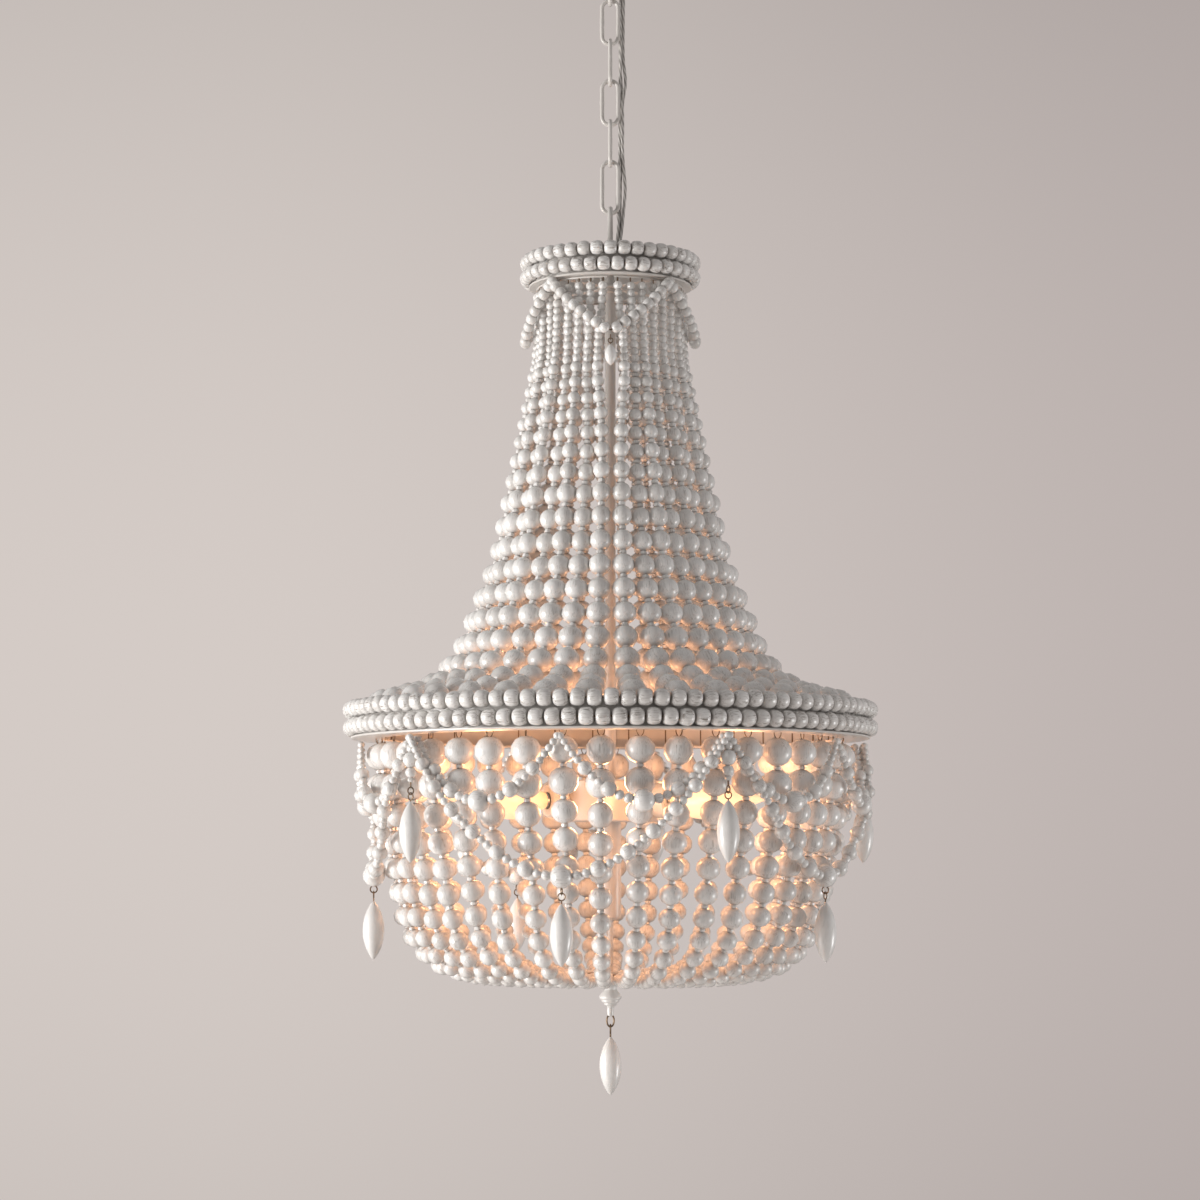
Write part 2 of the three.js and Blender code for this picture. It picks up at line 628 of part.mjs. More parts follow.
// Garlands: closed strings that touch the flange at their hooks and sag between them. The
// tables give, from the low bead (0) to the hook (1), how far the radius has gone from low to hook.
// The height rises with that share to the power bow, which is 1 for a straight V.
const slackBow = 2;
const tautBow = 1.2;
function garlandPath({ swags, low, lowRadius, hookRadius, hook, sag, bow, radiusShares, steps }) {
  return Array.from({ length: swags * 2 * steps }, (_, i) => {
    const share = Math.abs(steps - (i % (2 * steps))) / steps;
    const away = 1 - share;
    const height = hook - sag * (1 - away ** bow);
    const radius = lowRadius + (hookRadius - lowRadius) * readTable(radiusShares, away);
    return spotAt(radius, low + ((i / (2 * steps)) * turn) / swags, height);
  });
}

function garland(options) {
  const { hookBead, lowBead, steps } = options;
  const path = garlandPath(options);
  const depth = path.map((_, i) => {
    const away = 1 - Math.abs(steps - (i % (2 * steps))) / steps;
    return (lowBead + (hookBead - lowBead) * away) / 2;
  });
  const out = path.map((spot) => new THREE.Vector3(spot.x, spot.y, 0).normalize());
  return ringTube({ path, out, depth, sides: garlandSides, closed: true });
}

// Wire rings that a drop hangs on: the upper one is fast to what carries it, the lower one to the
// drop. The drop turns about the middle of the upper ring's lowest wire.
const eyeletRadius = 3.2;
const eyeletWire = 1.2;
const eyeletSteps = 6;
const eyeletSides = 3;
function upperEyelet(radius, azimuth, hang, ring = eyeletRadius, wire = eyeletWire) {
  const eyelet = wireRing(ring, wire, eyeletSteps, eyeletSides).rotateY(quarter);
  return place(eyelet, radius, azimuth, hang - ring);
}
function lowerEyeletCentre(hang, upper, lower, wire) {
  return hang - 2 * upper + wire + seatGap - lower;
}

// A turned olive with its ring, made under its hanging point
const oliveShares = [[0, 0.2], [0.16, 0.66], [0.42, 1], [0.66, 0.92], [0.9, 0.46], [1, 0.14]];
function drop({ radius, azimuth, hang, ring, wire, upper, stalk, length, diameter, sides }) {
  const centre = lowerEyeletCentre(hang, upper, ring, wire);
  const eyelet = wireRing(ring, wire, eyeletSteps, eyeletSides).rotateX(quarter).translate(0, 0, centre);
  const top = centre - ring - stalk;
  const profile = oliveShares.map(([at, wide]) => [(wide * diameter) / 2, top - at * length]);
  const shank = [[0, top + stalk], [wire / 2, top + stalk], [wire / 2, top]];
  const olive = turned([...shank, ...profile, [0, top - length]], sides);
  return place(join(olive, eyelet), radius, azimuth, 0);
}

// Crown garland: four small swags, drawn tight, with an olive under the front and the back one
const crownHookBead = 7;
const crownLowBead = 10;
const crownSwagDrop = 50;
const crownHookInset = 9; // hooks and low beads, in from the crown beads' outside
const crownLowInset = 5.2;
const crownDropInset = 5;
const crownRing = 2.2;
const crownRingWire = 1;
const crownOliveLength = 20;
const crownOliveDiameter = 11;
const crownOliveSides = 6;
const crownSteps = 4;
const crownHook = crownFlangeBottom - seatGap - crownHookBead / 2;
const crownHang = crownHook - crownSwagDrop - crownLowBead / 2 + crownRingWire / 2;
const plainShares = [[0, 0], [1, 1]];
const crownString = garland({
  swags: crownSwagCount, low: 0, lowRadius: crownRadius - crownLowInset,
  hookRadius: crownRadius - crownHookInset, hook: crownHook, sag: crownSwagDrop, bow: tautBow,
  radiusShares: plainShares, steps: crownSteps, hookBead: crownHookBead, lowBead: crownLowBead,
});
const crownDropRadius = crownRadius - crownDropInset;
const crownEyelets = [];
for (let i = 0; i < crownOliveCount; i += 1) {
  const azimuth = (i * turn) / crownOliveCount;
  crownEyelets.push(upperEyelet(crownDropRadius, azimuth, crownHang, crownRing, crownRingWire));
  addPiece(`crown_drop_${i + 1}`, drop({
    radius: crownDropRadius, azimuth, hang: crownHang, ring: crownRing, wire: crownRingWire,
    upper: crownRing, stalk: crownRingWire, length: crownOliveLength, diameter: crownOliveDiameter,
    sides: crownOliveSides,
  }), whitewash);
}
addPiece('top_garland', join(crownString, ...crownEyelets), whitewash);

// Short swags: ten scallops under the large ring
const scallopHookBead = 6.6;
const scallopLowBead = 20;
const scallopLowInset = 15;
const scallopHookInset = 17.5;
const scallopSteps = 3;
const scallopHook = ringFlangeBottom - seatGap - scallopHookBead / 2;
const scallopString = garland({
  swags: 2 * swagCount, low: bowlStart + turn / (4 * swagCount), lowRadius: ringRadius - scallopLowInset,
  hookRadius: ringRadius - scallopHookInset, hook: scallopHook, sag: scallopDrop, bow: slackBow,
  radiusShares: plainShares, steps: scallopSteps, hookBead: scallopHookBead, lowBead: scallopLowBead,
});
addPiece('short_garland', weld(scallopString), whitewash);

// Long swags: five, with a drop under each low bead and a bead string with a drop at each hook
const swagHookBead = 6.6;
const swagLowBead = 20;
const swagLowInset = 30;
const swagHookInset = 8.3;
const swagSteps = 7;
const swagRadiusShares = [[0, 0], [0.25, 0.08], [0.5, 0.32], [0.7, 0.83], [0.8, 0.96], [1, 1]];
const stringInset = 10; // bead string at a hook, in from the ring beads' outside
const stringLength = 45.5;
const stringKnotShares = [
  [0, 0.16], [0.2, 0.16], [0.32, 0.46], [0.4, 0.2], [0.58, 1], [0.76, 0.2], [0.85, 0.46], [1, 0.16],
]; // place along the string, and radius as a share of its largest bead
const stringBead = 13;
const swagStalk = 2.4;
const peakStalk = 1;
const swagHook = ringFlangeBottom - seatGap - swagHookBead / 2;
const swagHang = swagHook - swagDrop - swagLowBead / 2 + eyeletWire / 2;
const peakHang = swagHook - stringLength + eyeletWire / 2;
const swagLowRadius = ringRadius - swagLowInset;
const swagHookRadius = ringRadius - swagHookInset;
const stringRadius = ringRadius - stringInset;
const swagString = garland({
  swags: swagCount, low: bowlStart, lowRadius: swagLowRadius, hookRadius: swagHookRadius,
  hook: swagHook, sag: swagDrop, bow: slackBow, radiusShares: swagRadiusShares, steps: swagSteps,
  hookBead: swagHookBead, lowBead: swagLowBead,
});

function hookString(azimuth) {
  const path = stringKnotShares.map(([at], i) => new THREE.Vector3(
    0, -(i === 0 ? swagHookRadius : stringRadius), swagHook - at * stringLength,
  ));
  const depth = stringKnotShares.map(([, share]) => (share * stringBead) / 2);
  const out = path.map(() => new THREE.Vector3(0, -1, 0));
  return ringTube({ path, out, depth, sides: garlandSides }).rotateZ(azimuth);
}

const swagPieces = [];
for (let i = 0; i < swagCount; i += 1) {
  const low = bowlStart + (i * turn) / swagCount;
  const peak = low - turn / (2 * swagCount);
  const olive = {
    ring: eyeletRadius, wire: eyeletWire, upper: eyeletRadius, length: oliveLength,
    diameter: oliveDiameter, sides: beadSides,
  };
  swagPieces.push(upperEyelet(swagLowRadius, low, swagHang), hookString(peak));
  swagPieces.push(upperEyelet(stringRadius, peak, peakHang));
  addPiece(`swag_drop_${i + 1}`, drop({
    ...olive, radius: swagLowRadius, azimuth: low, hang: swagHang, stalk: swagStalk,
  }), whitewash);
  addPiece(`peak_drop_${i + 1}`, drop({
    ...olive, radius: stringRadius, azimuth: peak, hang: peakHang, stalk: peakStalk,
  }), whitewash);
}
addPiece('long_garland', join(swagString, ...swagPieces), whitewash);

// Lamp drum on the stem, with a hole for each lampholder and a thick sleeve below it
const holderNeck = 6;
const neckReach = 5; // how far the neck stands into the drum
const neckEnd = drumRadius - drumSheet - neckReach;
const drumProfile = [
  [stemRadius + seatGap, drumTop], [drumRadius, drumTop], [drumRadius, drumBottom],
  [sleeveRadius, drumBottom], [sleeveRadius, sleeveBottom + sleeveRound],
  [sleeveRadius - sleeveRound, sleeveBottom], [rodRadius + seatGap, sleeveBottom],
  [rodRadius + seatGap, sleeveBottom + drumSheet], [stemRadius + seatGap, sleeveBottom + drumSheet],
  [stemRadius + seatGap, drumBottom + drumSheet], [drumRadius - drumSheet, drumBottom + drumSheet],
  [drumRadius - drumSheet, drumTop - drumSheet], [stemRadius + seatGap, drumTop - drumSheet],
  [stemRadius + seatGap, drumTop],
];
const lampHeight = (drumTop + drumBottom) / 2;
const lampAzimuths = Array.from({ length: lampCount }, (_, i) => lampStart + (i * turn) / lampCount);
const radial = (profile, azimuth, sides) => turned(profile, sides)
  .rotateX(quarter).translate(0, 0, lampHeight).rotateZ(azimuth);
const neckHole = holderNeck + seatGap;
const neckTools = lampAzimuths.map((azimuth) => radial([
  [0, neckEnd], [neckHole, neckEnd], [neckHole, drumRadius + cutOverrun], [0, drumRadius + cutOverrun],
], azimuth, roundSides));
addPiece('lamp_drum', cut(turned(drumProfile, drumSides), ...neckTools), whiteSteel);

// Lampholders with their cups, and candle lamps screwed into them
const cupRadius = 16;
const cupLength = 16;
const capRadius = 7; // screw cap of the lamp
const capDepth = 10; // cap inside the holder
const capShown = 3;
const glassRadius = 17.5;
const glassLength = 97;
const glassShares = [[0, 0.42], [0.12, 0.72], [0.32, 1], [0.5, 0.95], [0.72, 0.6], [0.9, 0.2], [1, 0.06]];
const cupStart = drumRadius + seatGap;
const cupEnd = cupStart + cupLength;
const capStart = cupEnd - capDepth;
const glassStart = cupEnd + capShown;
const cupProfile = [
  [0, neckEnd], [holderNeck, neckEnd], [holderNeck, cupStart], [cupRadius, cupStart], [cupRadius, cupEnd],
  [capRadius + seatGap, cupEnd], [capRadius + seatGap, capStart - seatGap], [0, capStart - seatGap],
];
const bulbProfile = [
  [0, capStart], [capRadius, capStart], [capRadius, glassStart],
  ...glassShares.map(([at, wide]) => [wide * glassRadius, glassStart + at * glassLength]),
  [0, glassStart + glassLength],
];
lampAzimuths.forEach((azimuth, i) => {
  addPiece(`lamp_cup_${i + 1}`, radial(cupProfile, azimuth, roundSides), chinaWhite);
  addPiece(`candle_bulb_${i + 1}`, radial(bulbProfile, azimuth, roundSides), warmGlass);
});

// Hub: the plate that the bowl strands are drawn in on
const hubRadius = 32;
const hubBossRadius = 14;
const hubBossHeight = 8;
const hubBottom = hubTop - hubSheet;
const hubProfile = [
  [rodRadius + seatGap, hubBottom], [hubRadius, hubBottom], [hubRadius, hubTop],
  [hubBossRadius, hubTop], [hubBossRadius, hubTop + hubBossHeight],
  [rodRadius + seatGap, hubTop + hubBossHeight], [rodRadius + seatGap, hubBottom],
];
addPiece('bottom_hub', turned(hubProfile, drumSides), whiteSteel);

// Finial: a turned cone with a screw eye for the last olive
const finialLength = 30;
const finialDiameter = 21;
const finialShares = [[0, 0.4], [0.14, 0.58], [0.36, 0.92], [0.43, 1], [0.64, 0.66], [0.74, 0.34], [1, 0.28]];
const finialRing = 5.6;
const finialWire = 1.6;
const finialSink = 1.6; // how far its ring is let into its end
const bottomRing = 3.9;
const bottomStalk = 3.1;
const finialTop = hubBottom - seatGap;
const finialBottom = finialTop - finialLength;
const finialHang = finialBottom + finialSink;
const finialProfile = [
  [0, finialTop],
  ...finialShares.map(([at, wide]) => [(wide * finialDiameter) / 2, finialTop - at * finialLength]),
  [0, finialBottom],
];
const finialEye = upperEyelet(0, 0, finialHang, finialRing, finialWire).rotateZ(quarter);
addPiece('finial', join(turned(finialProfile, roundSides), finialEye), whitewash);
const bottomDrop = drop({
  radius: 0, azimuth: 0, hang: finialHang, ring: bottomRing, wire: finialWire, upper: finialRing,
  stalk: bottomStalk, length: oliveLength, diameter: oliveDiameter, sides: roundSides,
}).rotateZ(quarter);
addPiece('bottom_drop', bottomDrop, whitewash);

export default chandelier;
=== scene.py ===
import json
from math import pi, radians

import bpy
import numpy as np
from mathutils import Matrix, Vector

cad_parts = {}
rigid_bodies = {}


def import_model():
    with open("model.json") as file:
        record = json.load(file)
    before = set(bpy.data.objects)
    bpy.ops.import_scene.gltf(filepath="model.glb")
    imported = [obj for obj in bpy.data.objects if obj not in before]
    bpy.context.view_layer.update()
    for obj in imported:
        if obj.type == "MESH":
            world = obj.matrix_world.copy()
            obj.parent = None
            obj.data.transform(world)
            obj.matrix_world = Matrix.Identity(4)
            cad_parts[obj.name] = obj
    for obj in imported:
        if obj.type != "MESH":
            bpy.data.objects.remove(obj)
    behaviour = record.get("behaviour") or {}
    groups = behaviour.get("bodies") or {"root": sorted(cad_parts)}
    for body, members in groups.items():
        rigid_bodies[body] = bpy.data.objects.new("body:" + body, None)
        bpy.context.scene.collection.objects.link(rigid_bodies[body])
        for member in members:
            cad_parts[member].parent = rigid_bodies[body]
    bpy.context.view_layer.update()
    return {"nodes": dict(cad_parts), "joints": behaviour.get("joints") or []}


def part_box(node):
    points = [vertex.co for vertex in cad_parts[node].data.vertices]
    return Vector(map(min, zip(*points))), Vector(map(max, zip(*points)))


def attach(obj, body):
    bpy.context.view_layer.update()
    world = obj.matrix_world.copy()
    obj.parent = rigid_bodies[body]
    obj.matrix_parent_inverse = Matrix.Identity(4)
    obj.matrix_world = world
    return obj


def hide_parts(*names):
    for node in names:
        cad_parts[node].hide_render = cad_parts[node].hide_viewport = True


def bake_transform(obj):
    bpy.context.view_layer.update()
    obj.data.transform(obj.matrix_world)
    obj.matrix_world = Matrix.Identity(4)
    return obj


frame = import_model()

scene = bpy.context.scene
scene.view_settings.view_transform = "Standard"
nodes = frame["nodes"]

# Camera: nearly three metres in front of the chandelier and level with its bowl, tipped up so that the
# crown is seen from just below and the bowl from its side.
camera_lens = 88.5
camera_place = (-0.0097, -2.761, -0.900)
camera_tilt = radians(95.1)
optics = bpy.data.cameras.new("camera")
optics.lens = camera_lens
camera = bpy.data.objects.new("camera", optics)
camera.location = camera_place
camera.rotation_euler = (camera_tilt, 0, 0)
scene.collection.objects.link(camera)
scene.camera = camera

# Lamp cord: three thin flexes, tinned copper strands in clear PVC. They leave the canopy through its
# grommet, lie beside the chain and go into the boss under the top loop. Each stretch spans one joint of
# the chain.
mm = 0.001  # metres in a millimetre
flex_width = 3.0
flex_count = 3
flex_spread = 1.75  # middle of a flex, from the middle of the three
flex_sides = 10
flex_step = 1.5
flex_drift = 0.8  # how far the three turn about each other, in radians, and over what length
flex_drift_length = 150.0
flex_strays = (  # a flex stands off the others here and there: which, height, how far aside, half length
    (1, -156.0, 2.2, 15.0), (2, -272.0, -3.6, 20.0), (1, -260.0, 1.8, 18.0),
)
cord_route = [
    (20, 8, -11.6), (20, 8, -26), (18.6, 7.9, -38), (15.2, 7.4, -52), (12.6, 7, -68), (11.2, 6.9, -88),
    (10.8, 6.8, -112), (10.8, 6.8, -140), (10.8, 6.8, -170), (10.8, 6.8, -200), (10.8, 6.8, -228),
    (10.8, 6.8, -256), (10.8, 6.7, -272), (10.4, 5.8, -286), (9.2, 3.6, -300), (7.8, 1.4, -314),
    (6.8, 0.1, -327), (6.8, 0, -337.7),
]


def unit(vectors):
    """Each vector divided by its own length."""
    return vectors / np.linalg.norm(vectors, axis=-1, keepdims=True)


def length_along(line):
    """Length of a line of points up to each of them: the running sum of its steps."""
    steps = np.linalg.norm(np.diff(line, axis=0), axis=1)
    return np.concatenate([[0.0], np.cumsum(steps)])


def smooth_line(points, spacing):
    """Catmull-Rom line through the points, cut into even steps. With a, b, c, d four points in a row, the
    line from b to c is (2b + (c - a)t + (2a - 5b + 4c - d)t^2 + (3b - a - 3c + d)t^3) / 2."""
    points = np.asarray(points, float)
    ends = 2 * points[[0, -1]] - points[[1, -2]]
    padded = np.vstack([ends[:1], points, ends[1:]])
    spans = len(points) - 1
    a, b, c, d = (padded[i:i + spans, None] for i in range(4))
    t = np.linspace(0, 1, 16, endpoint=False)[None, :, None]
    line = (2 * b + (c - a) * t + (2 * a - 5 * b + 4 * c - d) * t**2 + (3 * b - a - 3 * c + d) * t**3) / 2
    line = np.vstack([line.reshape(-1, points.shape[1]), points[-1:]])
    reach = length_along(line)
    even = np.linspace(0, reach[-1], round(reach[-1] / spacing) + 1)
    return np.column_stack([np.interp(even, reach, column) for column in line.T])


def square_to(along, lead):
    """Two directions square to a line: the lead less its part along the line, and the line crossed with it."""
    lead = np.broadcast_to(lead, along.shape)
    first = unit(lead - (lead * along).sum(-1, keepdims=True) * along)
    return first, np.cross(along, first)


def tube(paths, radius, sides, lead, closed=False, flat=1.0, finish=0):
    """A part of rings carried along paths [copy, point, xyz]: point + r cos a F + flat r sin a S, with F and S
    square to the path. Three more columns give the pattern's place: r cos a, flat r sin a and the length."""
    paths = np.asarray(paths, float)
    along = unit(np.roll(paths, -1, axis=1) - np.roll(paths, 1, axis=1) if closed else np.gradient(paths, axis=1))
    first, second = square_to(along, lead)
    angle = np.arange(sides) * 2 * pi / sides
    radius = np.broadcast_to(radius, paths.shape[:2])[..., None]
    out, aside = radius * np.cos(angle), flat * radius * np.sin(angle)
    spots = paths[:, :, None] + out[..., None] * first[:, :, None] + aside[..., None] * second[:, :, None]
    steps = np.linalg.norm(np.diff(paths, axis=1), axis=-1)
    reach = np.pad(np.cumsum(steps, axis=1), ((0, 0), (1, 0)))[..., None]
    marks = np.stack([out, aside, np.broadcast_to(reach, out.shape)], axis=-1)
    return {"grid": np.concatenate([spots, marks], axis=-1), "closed": closed, "finish": finish}


sharp_bend = radians(42)  # a bend that shows as an edge


def skin(name, parts, finishes):
    """One mesh from parts, each a grid of rings [copy, ring, side, place and pattern] with its finish, tone and
    smoothness: four-sided faces between rings, and one over each end unless the rings close on themselves."""
    places, marks, tones, corners, counts, kinds, rounds = [], [], [], [], [], [], []
    used = 0
    for part in parts:
        grid, closed = part["grid"], part.get("closed", False)
        copies, rings, sides = grid.shape[:3]
        number = used + np.arange(copies * rings * sides).reshape(copies, rings, sides)
        used += number.size
        low = number if closed else number[:, :-1]
        high = np.roll(number, -1, axis=1) if closed else number[:, 1:]
        quads = np.stack([low, np.roll(low, -1, 2), np.roll(high, -1, 2), high], axis=-1).reshape(-1, 4)
        ends = number[:, :0, 0] if closed else np.concatenate([number[:, 0, ::-1], number[:, -1]])
        ends = ends.reshape(-1, sides)
        corners += [quads.ravel(), ends.ravel()]
        counts += [np.full(len(quads), 4), np.full(len(ends), sides)]
        kinds.append(np.full(len(quads) + len(ends), part.get("finish", 0)))
        rounds.append(np.full(len(quads) + len(ends), part.get("smooth", True)))
        places.append(grid[..., :3].reshape(-1, 3) * mm)
        marks.append(grid[..., 3:].reshape(-1, 3))
        tones.append(np.repeat(np.broadcast_to(part.get("tone", 0.5), copies), rings * sides))
    counts = np.concatenate(counts)
    mesh = bpy.data.meshes.new(name)
    mesh.vertices.add(used)
    mesh.vertices.foreach_set("co", np.concatenate(places).astype(np.float32).ravel())
    mesh.loops.add(counts.sum())
    mesh.loops.foreach_set("vertex_index", np.concatenate(corners).astype(np.int32))
    mesh.polygons.add(len(counts))
    mesh.polygons.foreach_set("loop_start", (np.cumsum(counts) - counts).astype(np.int32))
    mesh.polygons.foreach_set("material_index", np.concatenate(kinds).astype(np.int32))
    mesh.polygons.foreach_set("use_smooth", np.concatenate(rounds))
    grain = mesh.attributes.new("grain", "FLOAT_VECTOR", "POINT")
    grain.data.foreach_set("vector", np.concatenate(marks).astype(np.float32).ravel())
    tone = mesh.attributes.new("tone", "FLOAT", "POINT")
    tone.data.foreach_set("value", np.concatenate(tones).astype(np.float32))
    for finish in finishes:
        mesh.materials.append(finish)
    mesh.update(calc_edges=True)
    mesh.set_sharp_from_angle(angle=sharp_bend)
    solid = bpy.data.objects.new(name, mesh)
    scene.collection.objects.link(solid)
    return solid


def linear(code):
    """An sRGB hex colour as linear light: c / 12.92 for dark values, else ((c + 0.055) / 1.055) ^ 2.4."""
    value = np.array([int(code[i:i + 2], 16) for i in (1, 3, 5)]) / 255
    value = np.where(value <= 0.04045, value / 12.92, ((value + 0.055) / 1.055) ** 2.4)
    return (*value.tolist(), 1.0)


def add(tree, kind, settings={}, values={}, links={}):
    """Adds a shader node, with its own settings, its sockets' values and the outputs that feed its sockets."""
    node = tree.nodes.new("ShaderNode" + kind)
    for key, value in settings.items():
        setattr(node, key, value)
    for key, value in values.items():
        node.inputs[key].default_value = value
    for key, output in links.items():
        tree.links.new(output, node.inputs[key])
    return node


def new_finish(name, values):
    """A material with one principled shader, set to the values given by its sockets' names."""
    material = bpy.data.materials.new(name)
    material.use_nodes = True
    shader = material.node_tree.nodes["Principled BSDF"]
    for key, value in values.items():
        shader.inputs[key].default_value = value
    return material, material.node_tree, shader


def clouded(name, values, size, shades, detail=2.0):
    """A finish that goes from one shade to another in soft clouds, of a size in millimetres."""
    material, tree, shader = new_finish(name, values)
    place = add(tree, "TexCoord")
    cloud = add(tree, "TexNoise", values={"Scale": 1 / (size * mm), "Detail": detail},
                links={"Vector": place.outputs["Object"]})
    colour = add(tree, "Mix", {"data_type": "RGBA"}, {6: linear(shades[0]), 7: linear(shades[1])},
                 {0: cloud.outputs["Fac"]})
    tree.links.new(colour.outputs[2], shader.inputs["Base Color"])
    return material, tree, shader, colour


# Clear PVC over tinned copper: extruded, glossy, with the twist of the strands showing through as fine
# slanting bands of light and dark grey.
flex_lay = 9.0  # length in which a strand goes once round
flex_strands = 3.0  # bright ones round a flex
clear_flex, tree, shader = new_finish("clear_pvc_flex", {
    "Roughness": 0.22, "IOR": 1.53, "Coat Weight": 0.6, "Coat Roughness": 0.08,
})
grain = add(tree, "Attribute", {"attribute_name": "grain"})
axes = add(tree, "SeparateXYZ", links={0: grain.outputs["Vector"]})
angle = add(tree, "Math", {"operation": "ARCTAN2"}, links={0: axes.outputs["Y"], 1: axes.outputs["X"]})
rise = add(tree, "Math", {"operation": "MULTIPLY"}, {1: 2 * pi / flex_lay}, {0: axes.outputs["Z"]})
phase = add(tree, "Math", {"operation": "MULTIPLY_ADD"}, {1: flex_strands},
            {0: angle.outputs[0], 2: rise.outputs[0]})
wave = add(tree, "Math", {"operation": "SINE"}, links={0: phase.outputs[0]})
bands = add(tree, "MapRange", values={"From Min": -1.0}, links={"Value": wave.outputs[0]})
colour = add(tree, "Mix", {"data_type": "RGBA"}, {6: linear("#8E8A86"), 7: linear("#D8D4D0")},
             {0: bands.outputs[0]})
tree.links.new(colour.outputs[2], shader.inputs["Base Color"])

cord_line = smooth_line(cord_route, flex_step)
heading = unit(np.gradient(cord_line, axis=0))
across, aside = square_to(heading, (0.0, 1.0, 0.0))
reach = length_along(cord_line)
flexes = []
for k in range(flex_count):
    roll = 2 * pi * k / flex_count + flex_drift * np.sin(2 * pi * reach / flex_drift_length)
    flex = cord_line + flex_spread * (np.cos(roll)[:, None] * across + np.sin(roll)[:, None] * aside)
    for _, height, far, half in (stray for stray in flex_strays if stray[0] == k):
        flex[:, 0] += far * np.exp(-(((cord_line[:, 2] - height) / half) ** 2))
    flexes.append(flex)
flexes = tube(flexes, flex_width / 2, flex_sides, (0.0, 1.0, 0.0))["grid"]

swings = [joint for joint in frame["joints"] if joint["parent"] == "ceiling" or "chain" in joint["parent"]]
heights = np.array([joint["pos_m"][2] for joint in swings]) / mm
splits = [0.0, *(heights[1:] + heights[:-1]) / 2, cord_line[-1, 2] - flex_step]
cuts = [int(np.argmin(np.abs(cord_line[:, 2] - z))) for z in splits]
for k, joint in enumerate(swings):
    span = slice(cuts[k], cuts[k + 1] + 1)
    stretch = skin(f"lamp_cord_{k + 1}", [{"grid": flexes[:, span]}], [clear_flex])
    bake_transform(stretch)
    if k == 0:
        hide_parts("lamp_cord")

# Ceiling fitting: a spun steel canopy, two round-headed screws and a ring on a threaded nipple, all
# powder-coated white, and a white nylon grommet. The zinc-plated crossbar and the terminal block sit inside.
up = np.array([0.0, 0.0, 1.0])
ahead = np.array([1.0, 0.0, 0.0])


def piece(name, body, node, finishes, parts):
    """A piece of one mesh: it rides on its body, stands for a CAD node and takes its finish from a slot."""
    solid = skin(name, parts, finishes)
    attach(solid, body)
    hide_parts(node)


def turned(profile, sides, centres=(0, 0, 0), along=up, lead=ahead, widths=2.0, lengths=2.0, roll=0.0, **looks):
    """A part of turned shapes: a profile of (place along the axis, radius) set at each centre: centre + l/2 u A
    + w/2 v (cos a F + sin a S), with A the axis and F and S square to it. With width and length 2 the
    profile is in millimetres. looks are the part's own: closed, finish, tone, smooth."""
    centres = np.atleast_2d(centres).astype(float)
    copies = len(centres)
    along = np.broadcast_to(along, (copies, 3))
    first, second = square_to(along, lead)
    place, radius = np.asarray(profile, float).T
    angle = np.arange(sides) * 2 * pi / sides + np.broadcast_to(roll, copies)[:, None]
    rise = np.broadcast_to(lengths, copies)[:, None] / 2 * place
    wide = (np.broadcast_to(widths, copies)[:, None] / 2 * radius)[:, :, None]
    out, side = wide * np.cos(angle)[:, None], wide * np.sin(angle)[:, None]
    spots = centres[:, None, None] + rise[:, :, None, None] * along[:, None, None]
    spots = spots + out[..., None] * first[:, None, None] + side[..., None] * second[:, None, None]
    marks = np.stack([out, side, np.broadcast_to(rise[:, :, None], out.shape)], axis=-1)
    return {"grid": np.concatenate([spots, marks], axis=-1), **looks}


def corner_box(node):
    """Lowest and highest corner of a CAD node, in millimetres."""
    return [np.array(corner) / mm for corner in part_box(node)]


def hoop(centre, radius, wire, plane, sides, steps, narrow=1.0, finish=0):
    """A ring of round wire: centre + R (n cos t A + sin t B), with A and B the directions of its plane and n
    its width's share of its height."""
    t = np.arange(steps)[:, None] * 2 * pi / steps
    first, second = (np.asarray(axis, float) for axis in plane)
    path = np.asarray(centre) + radius * (narrow * np.cos(t) * first + np.sin(t) * second)
    return tube(path[None], wire / 2, sides, np.cross(first, second), True, finish=finish)


# White powder coat: baked on, satin, with a faint orange-peel skin that breaks up its highlights, and
# slightly greyer where the coat is thin.
peel_size = 1.6
patch_size = 22.0
white_steel, tree, shader, colour = clouded("white_powder_coated_steel", {
    "Roughness": 0.32, "IOR": 1.5, "Coat Weight": 0.3, "Coat Roughness": 0.15,
}, patch_size, ("#DEDAD6", "#C8C3BE"), detail=3.0)
place = add(tree, "TexCoord")
peel = add(tree, "TexNoise", values={"Scale": 1 / (peel_size * mm), "Detail": 1.0},
           links={"Vector": place.outputs["Object"]})
bump = add(tree, "Bump", values={"Strength": 0.25, "Distance": 0.05 * mm}, links={"Height": peel.outputs["Fac"]})
tree.links.new(bump.outputs[0], shader.inputs["Normal"])

# Zinc plate: bright and slightly blue, with the spangle of its dull and shiny crystals.
spangle_size = 3.0
zinc, tree, shader = new_finish("zinc_plated_steel", {"Metallic": 1.0, "Roughness": 0.38})
place = add(tree, "TexCoord")
spangle = add(tree, "TexVoronoi", values={"Scale": 1 / (spangle_size * mm)},
              links={"Vector": place.outputs["Object"]})
colour = add(tree, "Mix", {"data_type": "RGBA"}, {6: linear("#A9ABAB"), 7: linear("#C9CBCC")},
             {0: spangle.outputs["Color"]})
tree.links.new(colour.outputs[2], shader.inputs["Base Color"])

# Nylon: moulded, milky white, a little see-through at its edges, faintly mottled.
mottle_size = 4.0
white_nylon = clouded("moulded_white_nylon", {
    "Roughness": 0.45, "IOR": 1.53, "Subsurface Weight": 0.25, "Subsurface Scale": 1.5 * mm,
}, mottle_size, ("#F3F0EA", "#E6E1D8"))[0]

